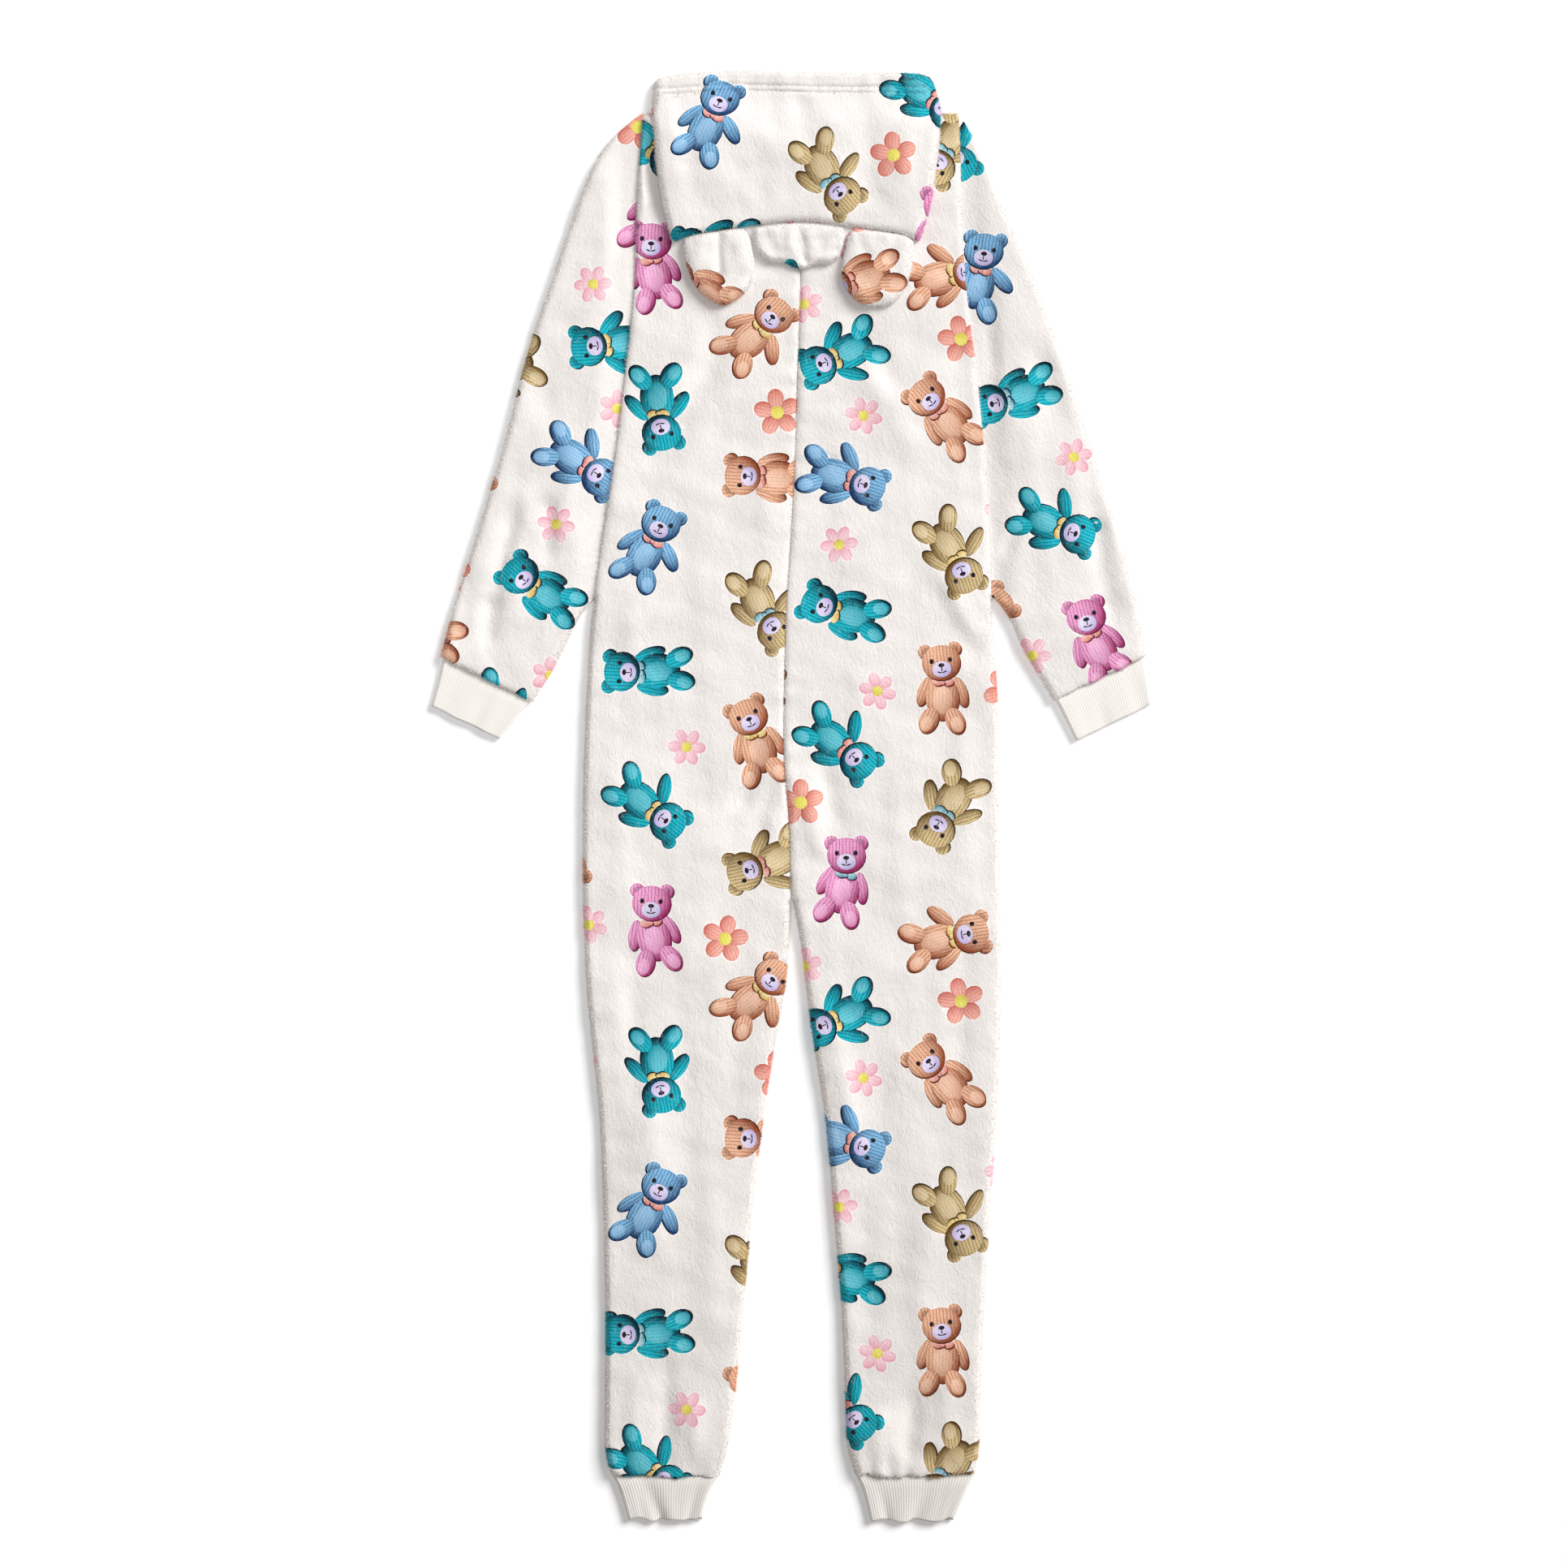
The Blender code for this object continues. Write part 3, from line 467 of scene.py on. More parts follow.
# %% The bear and the flower
BEAR_BODY = (
    (-15.4, -3.5, 5.9, 13.6, -20, "wool"),
    (15.4, -3.5, 5.9, 13.6, 20, "wool"),
    (0.0, -9.5, 14.4, 19.0, 0, "wool"),
    (0.0, -10.5, 8.6, 12.4, 0, "patch"),
    (-11.4, -28.5, 8.2, 11.8, -24, "wool"),
    (11.4, -28.5, 8.2, 11.8, 24, "wool"),
    (-13.2, -31.4, 5.2, 7.0, -24, "patch"),
    (13.2, -31.4, 5.2, 7.0, 24, "patch"),
)
BEAR_HEAD = (
    (-12.6, 32.2, 6.3, 6.3, 0, "wool"),
    (12.6, 32.2, 6.3, 6.3, 0, "wool"),
    (-12.3, 32.4, 3.3, 3.6, 0, "shade"),
    (12.3, 32.4, 3.3, 3.6, 0, "shade"),
    (0.0, 21.5, 16.8, 15.2, 0, "wool"),
    (0.0, 15.8, 8.3, 6.9, 0, "muzzle"),
    (-8.0, 23.2, 1.9, 2.2, 0, "black"),
    (8.0, 23.2, 1.9, 2.2, 0, "black"),
    (0.0, 19.2, 2.7, 1.8, 0, "black"),
    (0.0, 15.8, 0.5, 2.4, 0, "black"),
    (-2.1, 13.2, 2.3, 0.6, -18, "black"),
    (2.1, 13.2, 2.3, 0.6, 18, "black"),
)
BEAR_BOW = (
    (-5.0, 4.6, 4.8, 3.2, -14, "bow"),
    (5.0, 4.6, 4.8, 3.2, 14, "bow"),
    (0.0, 4.4, 2.0, 2.1, 0, "bow"),
)
NECK = (0.0, 7.0)
LIMBS = ((0,), (1,), (4, 6), (5, 7))
JOINTS_AT = ((-11.0, 5.0), (11.0, 5.0), (-8.0, -20.0), (8.0, -20.0))
SWINGS = ((0, 0, 0, 0), (-32, 8, -8, 4), (-6, 44, 4, 12), (-20, 20, -14, 14), (4, -6, 8, -8))
TILTS = (-13, 8, 0, 14, -7, 11, -4)
HALO_WIDTH = 1.1
SHADE_STEP = (0.8, -1.1)


def shaded(colour, share, lift=0.0):
    """A colour at a share of its strength, and lifted towards white by some more."""
    return tuple(share * np.array(colour) + lift)


def swung(row, joint, turn):
    """One oval of a bear, turned about a joint."""
    x, y, across, along, own, part = row
    place = rotated((x - joint[0], y - joint[1]), turn) + joint
    return (*place, across, along, own + turn, part)


def bear_inks(number):
    """Light ink, dark ink and share of knit for each part of one bear."""
    light, dark = WOOL[WOOL_ORDER[number % len(WOOL_ORDER)]]
    return {
        "wool": (light, dark, 1.0),
        "patch": (shaded(light, 0.84, 0.14), tuple(0.5 * (np.array(light) + dark)), 0.7),
        "shade": (shaded(light, 0.55), dark, 0.6),
        "muzzle": (*MUZZLE, 0.25),
        "black": (BLACK, BLACK, 0.0),
        "bow": (*BOW[number % len(BOW)], 0.5),
        "under": (shaded(dark, 0.55), shaded(dark, 0.35), 0.4),
    }


def bear(number):
    """Ovals of one bear. The number picks its wool, its bow, its pose and the tilt of its head."""
    inks = bear_inks(number)
    head = [swung(row, NECK, TILTS[number % len(TILTS)]) for row in BEAR_HEAD]
    body = list(BEAR_BODY)
    for limb, joint, swing in zip(LIMBS, JOINTS_AT, SWINGS[number % len(SWINGS)]):
        for part_number in limb:
            body[part_number] = swung(body[part_number], joint, swing)
    rows = body + head[:2] + list(BEAR_BOW) + head[2:]
    painted, over = [], []
    for x, y, across, along, turn, part in rows:
        if part in ("wool", "bow"):
            painted.append((x, y, across + HALO_WIDTH, along + HALO_WIDTH, turn, HALO, HALO, 0.0))
            over.append((x + SHADE_STEP[0], y + SHADE_STEP[1], across, along, turn, *inks["under"]))
        over.append((x, y, across, along, turn, *inks[part]))
    return painted + over


print("ovals in a bear:", len(bear(0)))

# %% The flower
FLOWER_SIZES = (17.0, 21.0)
PETAL_COUNTS = (6, 5)
PETAL_WIDTHS = (0.30, 0.34)
PETAL_LENGTH = 0.40
PETAL_REACH = 0.58
STAMEN_SIZE = 0.27


def flower(number):
    """Ovals of one flower. The number picks its colour, its size and its petals."""
    kind = number % 2
    radius, petals = FLOWER_SIZES[kind], PETAL_COUNTS[kind]
    rows = []
    for more, inks in ((HALO_WIDTH, (HALO, HALO, 0.0)), (0.0, (*PETALS[kind], 0.8))):
        for k in range(petals):
            turn = 360.0 * k / petals
            place = rotated((0.0, radius * PETAL_REACH), turn)
            size = (radius * PETAL_WIDTHS[kind] + more, radius * PETAL_LENGTH + more)
            rows.append((*place, *size, turn, *inks))
    rows.append((0.0, 0.0, radius * STAMEN_SIZE, radius * STAMEN_SIZE, 0.0, *STAMEN, 0.8))
    return rows


print("ovals in a flower:", len(flower(0)))

# %% [markdown]
# ## One repeat of the print
# A printed cloth repeats. The bears stand on a half-drop grid, a little off their places and
# turned all ways, so no row shows. Flowers then go one by one into the widest gap that is left,
# well apart from each other. The repeat wraps at its edges, so that copies join with no seam.

# %% One repeat of the print
COLUMN, ROW = 93.0, 114.0
COLUMNS, ROWS = 6, 5
REPEAT = np.array((COLUMN * COLUMNS, ROW * ROWS))
PLACE_SLIP = 7.0
TURN_SLIP = 20.0
BEAR_CIRCLES = ((0.0, 22.0, 19.0), (0.0, -8.0, 19.0), (-11.0, -29.0, 13.0), (11.0, -29.0, 13.0))
FLOWERS_A_BEAR = 0.62
FLOWER_SPREAD = 28.0
GAP_STEP = 3.0
PRINT_SEED = 23


def wrapped(offset):
    """An offset between two places, taken the short way round the repeat."""
    return offset - REPEAT * np.round(offset / REPEAT)


def make_repeat():
    """Places of the motifs in one repeat: (x, y, turn, mirror, kind, number)."""
    random = np.random.RandomState(PRINT_SEED)
    motifs, circles = [], []
    for i, j in np.ndindex(COLUMNS, ROWS):
        x = i * COLUMN + random.uniform(-PLACE_SLIP, PLACE_SLIP)
        y = j * ROW + (i % 2) * ROW / 2 + random.uniform(-PLACE_SLIP, PLACE_SLIP)
        turn = ((i * 3 + j * 5) % 8) * 45.0 + random.uniform(-TURN_SLIP, TURN_SLIP)
        mirror = 1 - 2 * ((i + j) % 2)
        motifs.append((x, y, turn, mirror, "bear", i * 3 + j * 2))
        for cx, cy, radius in BEAR_CIRCLES:
            circles.append((*(rotated((cx * mirror, cy), turn) + (x, y)), radius))
    circles = np.array(circles)
    gx, gy = np.meshgrid(np.arange(0, REPEAT[0], GAP_STEP), np.arange(0, REPEAT[1], GAP_STEP))
    places = np.stack([gx.ravel(), gy.ravel()], 1)
    for number in range(int(FLOWERS_A_BEAR * COLUMNS * ROWS)):
        offsets = wrapped(places[:, None, :] - circles[None, :, :2])
        gaps = np.linalg.norm(offsets, axis=2) - circles[:, 2]
        x, y = places[int(gaps.min(1).argmax())]
        motifs.append((x, y, random.uniform(0, 360), 1, "flower", number))
        circles = np.concatenate([circles, [(x, y, FLOWER_SIZES[number % 2] + FLOWER_SPREAD)]])
    return motifs


repeat = make_repeat()
print("motifs in a repeat:", len(repeat), "of which flowers:", sum(m[4] == "flower" for m in repeat))

# %% [markdown]
# ## Printing a pattern piece
# Each pattern piece is cut from the roll at its own place and along its own grain, so the print
# breaks at every seam. For one piece, the repeat is turned and moved, and each motif that may
# touch the piece becomes closed rings of points. A ring keeps its inks, and its own axes, from
# which the shader later works out the round shading and the knitted lines.

# %% Printing a pattern piece
MOTIFS = {"bear": bear, "flower": flower}
RING_POINTS = {"bear": 20, "flower": 14}
LEAST_POINTS = 8
LEAST_SHARE = 0.45
FULL_OVAL = 16.0
PRINT_MARGIN = 60.0


def motifs_over(low, high, cut_at, grain):
    """Each motif of the roll that may touch a box: its place, turn, mirror, kind and number."""
    middle, reach = (low + high) / 2, np.linalg.norm(high - low) / 2
    count = int(math.ceil(reach / REPEAT.min())) + 1
    for i in range(-count, count + 1):
        for j in range(-count, count + 1):
            shift = REPEAT * (i, j) - np.mod(cut_at, REPEAT)
            for x, y, turn, mirror, kind, number in repeat:
                place = rotated(np.array((x, y)) + shift, grain) + middle
                if (place >= low).all() and (place <= high).all():
                    yield place, turn + grain, mirror, kind, number


def printed_rings(loop, cut_at, grain):
    """Rings of the print over an outline, for cloth cut at a place of the roll and along a grain."""
    low, high = loop.min(0) - PRINT_MARGIN, loop.max(0) + PRINT_MARGIN
    rings = []
    for place, turn, mirror, kind, number in motifs_over(low, high, cut_at, grain):
        for x, y, across, along, own, *inks in MOTIFS[kind](number):
            share = min(1.0, LEAST_SHARE + along / FULL_OVAL)
            points = max(LEAST_POINTS, int(RING_POINTS[kind] * share))
            around = np.arange(points) * math.tau / points
            ring = np.stack([across * np.cos(around), along * np.sin(around)], 1)
            ring = (rotated(ring, own) + (x, y)) * (mirror, 1)
            ring = rotated(ring[::mirror], turn) + place
            centre = rotated((x * mirror, y), turn) + place
            rings.append((ring, centre, (across, along), own * mirror, turn, *inks))
    return rings


print("rings over the left back:", len(printed_rings(back_outlines["back_left"], (40.0, 90.0), 0.0)))

# %% [markdown]
# ## From outline to shell
# A constrained triangulation takes the outline, a net of inner points and the rings of the print,
# and gives triangles that never cross a printed edge, so each triangle has one ink. The outer
# layer is raised to its heights. The inner layer is a coarser net on the same edge, one wall
# thickness below, and strips close the two at the cloth's edge. A tube, such as a sleeve, has both
# layers again below, and they meet the upper ones at its two folds.

# %% Nets of points
NET_ROW = 0.87
NET_GAP = 0.4
RING_SHARE = 0.93
RING_SLACK = 0.02
RING_PAST = 1.0


def inside(points, loop):
    """Which points lie inside a closed outline."""
    x, y = points[:, 0], points[:, 1]
    found = np.zeros(len(points), bool)
    for (x1, y1), (x2, y2) in zip(loop, np.roll(loop, -1, 0)):
        if y1 != y2:
            found ^= ((y1 > y) != (y2 > y)) & (x < (x2 - x1) * (y - y1) / (y2 - y1) + x1)
    return found


def net_points(loop, kinds, edges, spacing):
    """Points inside an outline: rings beside each edge, then an even triangular net."""
    starts, ends, out = sides(loop)
    low, high = loop.min(0), loop.max(0)
    xs, ys = np.arange(low[0], high[0], spacing), np.arange(low[1], high[1], spacing * NET_ROW)
    net = [np.stack([xs + (k % 2) * spacing / 2, np.full(len(xs), y)], 1) for k, y in enumerate(ys)]
    net = np.concatenate(net)
    net = net[inside(net, loop)]
    found = []
    for key, edge in edges.items():
        mine = kinds == key
        if not mine.any():
            continue
        for depth in edge.rings:
            least = min(RING_SHARE * depth, depth - RING_SLACK, edge.reach + RING_PAST)
            for share in (0.25, 0.75) if depth < edge.reach else (0.5,):
                ring = starts[mine] + (ends - starts)[mine] * share - out[mine] * depth
                near, _ = distance_to(ring, starts, ends)
                found.append(ring[near > least])
        near, _ = distance_to(net, starts[mine], ends[mine])
        net = net[near > max(edge.rings) + NET_GAP * spacing]
    return np.concatenate(found + [net])


def fill(loop, points, rings):
    """Triangles inside an outline, cut along the rings, and the topmost ring of each triangle."""
    stacks = [loop, points] + [ring[0] for ring in rings]
    vertices = [Vector(p) for p in np.concatenate(stacks).tolist()]
    faces, start = [list(range(len(loop)))], len(loop) + len(points)
    for ring in rings:
        faces.append(list(range(start, start + len(ring[0]))))
        start += len(ring[0])
    made = delaunay_2d_cdt(vertices, [], faces, 1, 1e-4, True)
    kept = [(face, max(source) - 1) for face, source in zip(made[2], made[5]) if 0 in source]
    used, triangles = np.unique([face for face, _ in kept], return_inverse=True)
    triangles = triangles.reshape(-1, 3)
    owners = np.array([owner for _, owner in kept])
    flat = np.array([tuple(v) for v in made[0]])[used]
    places = {}
    for vertex, number in enumerate(used):
        for source in made[3][number]:
            if source < len(loop):
                places[source] = vertex
    return flat, triangles, owners, places


def edge_ring(triangles):
    """The vertices round the edge of a filled outline, in order."""
    sides = np.concatenate([triangles[:, [0, 1]], triangles[:, [1, 2]], triangles[:, [2, 0]]])
    known = {tuple(side) for side in sides.tolist()}
    follow = {a: b for a, b in known if (b, a) not in known}
    start = next(iter(follow))
    ring, at = [start], follow[start]
    while at != start:
        ring.append(at)
        at = follow[at]
    return np.array(ring)


square = np.array([(0.0, 0.0), (9.0, 0.0), (9.0, 9.0), (0.0, 9.0)])
print("triangles in a square with one point in it:", len(fill(square, np.array([(4.0, 5.0)]), [])[1]))

# %% Shells
WALL = 2.3
WELD = 0.01 * MM
LEAST_SIDE = 0.2 * WELD
SHARP_TURN = math.radians(55)


class Shell:
    """Gathers the layers of one cloth piece, then turns them into a mesh with its print."""

    def __init__(self, name):
        self.name, self.points, self.faces, self.print_rows, self.count = name, [], [], [], 0

    def add(self, flat, height, triangles, owners, rings, flipped):
        """Add one layer and return the number of its first vertex."""
        start = self.count
        self.points.append(np.concatenate([flat, height[:, None]], 1))
        corners = triangles[:, ::-1] if flipped else triangles
        self.faces.extend((corners + start).tolist())
        self.print_rows.append((corners, owners, flat, rings))
        self.count += len(flat)
        return start

    def close(self, outer, inner, flipped):
        """Close two layers along matching runs of vertices, with faces that carry no print."""
        quads = []
        for (a, b), (c, d) in zip(outer, inner):
            quad = [a, b, d, c] if flipped else [b, a, c, d]
            if len(set(quad)) == 4:
                quads.append(quad)
        self.faces.extend(quads)
        self.print_rows.append((np.array(quads), None, None, []))

    def print_maps(self, total):
        """For each corner of each face: both inks, the place on its oval, and on its knitting."""
        light, dark = (np.tile(np.array((*CREAM, 0.0)), (total, 1)) for _ in range(2))
        shape, knit = np.zeros((total, 2)), np.zeros((total, 2))
        corner = 0
        for corners, owners, places, rings in self.print_rows:
            for number in np.unique(owners[owners >= 0]) if rings else ():
                _, centre, size, own, turn, lit, dim, wool = rings[number]
                mine = np.where(owners == number)[0]
                local = rotated(places[corners[mine]].reshape(-1, 2) - centre, -(own + turn))
                at = (corner + mine[:, None] * 3 + np.arange(3)).ravel()
                light[at] = (*lit, wool)
                dark[at] = (*dim, 1.0)
                shape[at] = rotated(local / size, own)
                knit[at] = local
            corner += corners.size
        return light, dark, shape, knit

    def object(self, material, grain, middle):
        """The finished object, welded, smooth and with its print, nap and shading maps."""
        mesh = bpy.data.meshes.new(self.name)
        points = np.concatenate(self.points)
        mesh.from_pydata((points * MM).tolist(), [], self.faces)
        order = np.concatenate([np.array(face) for face in self.faces])
        flat = rotated(points[order, :2] - middle, -grain) * MM
        light, dark, shape, knit = self.print_maps(len(order))
        for title, values in (("flat", flat), ("shape", shape), ("knit", knit)):
            layer = mesh.uv_layers.new(name=title, do_init=False)
            layer.uv.foreach_set("vector", values.astype(np.float32).ravel())
        for title, values in (("ink_light", light), ("ink_dark", dark)):
            layer = mesh.color_attributes.new(title, "FLOAT_COLOR", "CORNER")
            layer.data.foreach_set("color", values.astype(np.float32).ravel())
        work = bmesh.new()
        work.from_mesh(mesh)
        bmesh.ops.remove_doubles(work, verts=work.verts, dist=WELD)
        bmesh.ops.dissolve_degenerate(work, edges=work.edges, dist=LEAST_SIDE)
        work.to_mesh(mesh)
        work.free()
        mesh.shade_smooth()
        mesh.set_sharp_from_angle(angle=SHARP_TURN)
        mesh.materials.append(material)
        return linked(self.name, mesh)


print("wall", WALL, "mm, weld", WELD / MM, "mm")

# %% Cloth


def triangle_area(points, triangles):
    """Area of some triangles in space."""
    a, b, c = (points[triangles[:, k]] for k in range(3))
    return float(np.linalg.norm(np.cross(b - a, c - a), axis=1).sum() / 2)


def level_at(height):
    """A surface of one height."""
    return lambda x, y: x * 0.0 + height


def cloth(name, loop, kind_of, edges, top, material, cut_at=(0.0, 0.0), grain=0.0, spacing=5.0,
          bottom=None, face_down=False, wall=WALL, printed=True, inner_spacing=16.0, hollow=True):
    """One cloth piece on an outline: a closed thin shell, or a tube where it has a bottom."""

    def kinds_on(ring):
        starts, ends, out = sides(ring)
        return np.array([kind_of(*m, *n) for m, n in zip((starts + ends) / 2, out)])

    rings = printed_rings(loop, cut_at, grain) if printed else []
    kinds = kinds_on(loop)
    flat, triangles, owners, _ = fill(loop, net_points(loop, kinds, edges, spacing), rings)
    ring = edge_ring(triangles)
    coarse = net_points(loop, kinds, edges, inner_spacing)
    inner_flat, inner_triangles, inner_owners, places = fill(flat[ring], coarse, [])
    inner_ring = np.array([places[k] for k in range(len(ring))])
    opens = np.array([edges[key].opens for key in kinds_on(flat[ring])])
    shell, area = Shell(name), 0.0
    for surface, below in ((top, False), (bottom, True)):
        if surface is None:
            continue
        flip = below or face_down
        outer, _, _ = heights(flat, loop, kinds, edges, surface, wall, below)
        first = shell.add(flat, outer, triangles, owners, rings, flip)
        area += triangle_area(np.concatenate([flat, outer[:, None]], 1), triangles) / 1e6
        if hollow:
            depth = -wall if flip else wall
            _, inner, inset = heights(inner_flat, loop, kinds, edges, surface, depth, below)
            second = shell.add(inner_flat + inset, inner, inner_triangles, inner_owners, [], not flip)
            runs = (ring + first, inner_ring + second)
            shell.close(*(np.stack([run, np.roll(run, -1)], 1)[opens] for run in runs), flip)
    piece = shell.object(material, grain, (loop.min(0) + loop.max(0)) / 2)
    piece["cloth_area"] = area
    print(name, len(piece.data.polygons), "faces,", round(area, 4), "m2, print rings", len(rings))
    return piece


triangle = np.array([(0, 0, 0), (3, 0, 0), (0, 4, 0)])
print("a triangle of 3 by 4 mm:", triangle_area(triangle, np.array([(0, 1, 2)])), "mm2")

# %% [markdown]
# ## A short way to write nodes
# A shader and a geometry tree are both graphs of small steps, and most steps are sums. Written one
# node at a time they are hard to read. So an output of a node becomes a value that can be added and
# multiplied like a number, where each sum makes a Math node, and a graph makes nodes by their kind
# with their inputs linked or set.

# %% Values and graphs


class Value:
    """An output of a node that sums can be done with. Each sum is a Math node."""

    def __init__(self, graph, socket):
        self.graph, self.socket = graph, socket

    def __add__(self, other):
        return self.graph.math("ADD", self, other)

    def __sub__(self, other):
        return self.graph.math("SUBTRACT", self, other)

    def __mul__(self, other):
        return self.graph.math("MULTIPLY", self, other)

    def __truediv__(self, other):
        return self.graph.math("DIVIDE", self, other)

    def clamped(self):
        """The same sum, kept between 0 and 1."""
        self.socket.node.use_clamp = True
        return self


class Graph:
    """A node tree that is built by kind of node. Inputs go by name, or by number as n0, n1."""

    prefix = "ShaderNode"

    def __init__(self, tree):
        self.tree = tree

    def put(self, given, socket):
        if isinstance(given, Value):
            self.tree.links.new(given.socket, socket)
        else:
            socket.default_value = given

    def node(self, kind, settings=None, **inputs):
        whole = kind.startswith(("Shader", "Function"))
        made = self.tree.nodes.new(kind if whole else self.prefix + kind)
        for key, setting in (settings or {}).items():
            setattr(made, key, setting)
        for key, given in inputs.items():
            by_number = key[0] == "n" and key[1:].isdigit()
            self.put(given, made.inputs[int(key[1:]) if by_number else key.replace("_", " ")])
        return made

    def out(self, kind, settings=None, which=0, **inputs):
        """One output of a new node, as a value."""
        return Value(self, self.node(kind, settings, **inputs).outputs[which])

    def math(self, operation, first, second=0.0):
        return self.out("ShaderNodeMath", {"operation": operation}, n0=first, n1=second)

    def scaled(self, vector, factor):
        return self.out("ShaderNodeVectorMath", {"operation": "SCALE"}, n0=vector, Scale=factor)

    def parts(self, vector):
        made = self.node("ShaderNodeSeparateXYZ", n0=vector)
        return [Value(self, socket) for socket in made.outputs]


class Shading(Graph):
    """The nodes of a material that lead to its Principled shader."""

    def __init__(self, material):
        super().__init__(material.node_tree)
        self.shader = self.tree.nodes["Principled BSDF"]

    def blend(self, share, first, second):
        return self.out("Mix", {"data_type": "RGBA"}, 2, Factor=share, n6=first, n7=second)

    def map(self, title):
        return self.out("UVMap", {"uv_map": title})

    def attribute(self, title, which):
        return self.out("Attribute", {"attribute_name": title}, which)

    def place(self):
        return self.out("TexCoord", None, "Object")

    def noise(self, vector, scale, detail=2.0, stretch=(1.0, 1.0, 1.0), turn=0.0, curl=0.0):
        mapped = self.out("Mapping", Vector=vector, Scale=stretch, Rotation=(0.0, 0.0, turn))
        return self.out("TexNoise", None, "Fac", Vector=mapped, Scale=scale, Detail=detail, Distortion=curl)

    def finish(self, colour, relief=None, strength=0.0, distance=0.0):
        """Give the shader its colour, and a bump where there is relief."""
        self.put(colour, self.shader.inputs["Base Color"])
        if relief:
            bump = self.out("Bump", Strength=strength, Distance=distance, Height=relief)
            self.put(bump, self.shader.inputs["Normal"])


print("nodes of a shader are of kind", Shading.prefix, "and so on")

# %% [markdown]
# ## Fleece
# Flannel fleece has a short brushed pile: pale tips that lie in little strokes, a soft sheen at
# grazing angles, and no hard highlight. The colour is the cream cloth or the two inks of a ring,
# mixed by how far the ring's own normal turns to the light of the drawing. Columns across the ring
# and slanted rows along it give the knitted look. Noises in the cloth's own flat map move the
# colour and the bump, so that the nap runs with the grain of each pattern piece.

# %% Fleece
KNIT_COLUMN = 2.9
KNIT_ROW = 2.3
KNIT_SWAY = 0.9
COLUMN_EDGE = 0.28
COLUMN_DARK = 2.9
ROW_SLANT = 1.5
ROW_DARK = 0.34
DRAWN_LIGHT = (-0.38, 0.46)
DRAWN_LEVEL = 0.78
DRAWN_FALL = 0.42
NAP_CHANGE = 0.22
TIP_LEVEL = 0.56
TIP_SHARE = 0.6
PILE_RELIEF = 1.6 * MM


def fleece_material():
    """Printed flannel fleece."""
    material = new_material("fleece", {
        "Roughness": 0.95, "Specular IOR Level": 0.15, "Sheen Weight": 0.14, "Sheen Roughness": 0.45,
    })
    n = Shading(material)
    light, wool = n.attribute("ink_light", "Color"), n.attribute("ink_light", "Alpha")
    dark, inked = n.attribute("ink_dark", "Color"), n.attribute("ink_dark", "Alpha")

    x, y, _ = n.parts(n.map("shape"))
    facing = x * DRAWN_LIGHT[0] + y * DRAWN_LIGHT[1]
    square = x * x + y * y
    lit = (facing - square * square * DRAWN_FALL + DRAWN_LEVEL).clamped()
    ink = n.blend(lit, dark, light)

    x, y, _ = n.parts(n.map("knit"))
    sway = (n.noise(n.map("knit"), 0.16, 1.0) - 0.5) * (KNIT_SWAY * 2)
    column = n.math("ABSOLUTE", n.math("FRACT", (x + sway) / KNIT_COLUMN) - 0.5)
    between = (column - COLUMN_EDGE).clamped() * COLUMN_DARK
    row = n.math("SINE", ((y + sway) / KNIT_ROW + column * ROW_SLANT) * math.tau)
    lines = (between + (row + 0.2).clamped() * ROW_DARK) * wool
    ink = n.blend(lines, ink, dark)

    flat = n.map("flat")
    strokes = n.noise(flat, 300.0, 3.0, stretch=(1.0, 0.5, 1.0), turn=0.35, curl=1.4)
    clouds = n.noise(flat, 36.0, 4.0, stretch=(1.0, 0.7, 1.0), curl=0.8)
    fine = n.noise(flat, 1150.0, 2.0)
    tone = (strokes * 0.55 + clouds * 0.45 - 0.5) * NAP_CHANGE + 1.0
    tips = (strokes - TIP_LEVEL).clamped() * TIP_SHARE * inked
    worn = n.blend(tips, n.scaled(ink, tone), (*CREAM, 1.0))
    n.finish(worn, strokes * 0.6 + fine * 0.25 + clouds * 1.1, strength=0.55, distance=PILE_RELIEF)
    return material


fleece = fleece_material()
print("fleece nodes:", len(fleece.node_tree.nodes))

# %% [markdown]
# ## Back panels
# The two backs reach from the shoulders to the ankles and meet at the centre-back seam. At the
# side and the inseam their rims turn down to the surface. Above the armpit they end in a soft lip
# on the sleeve, and at the leg end the pile puffs over the cuff. The folds are those of the
# photograph: drag lines from the armpits, creases at the crotch and long soft hollows in the legs.

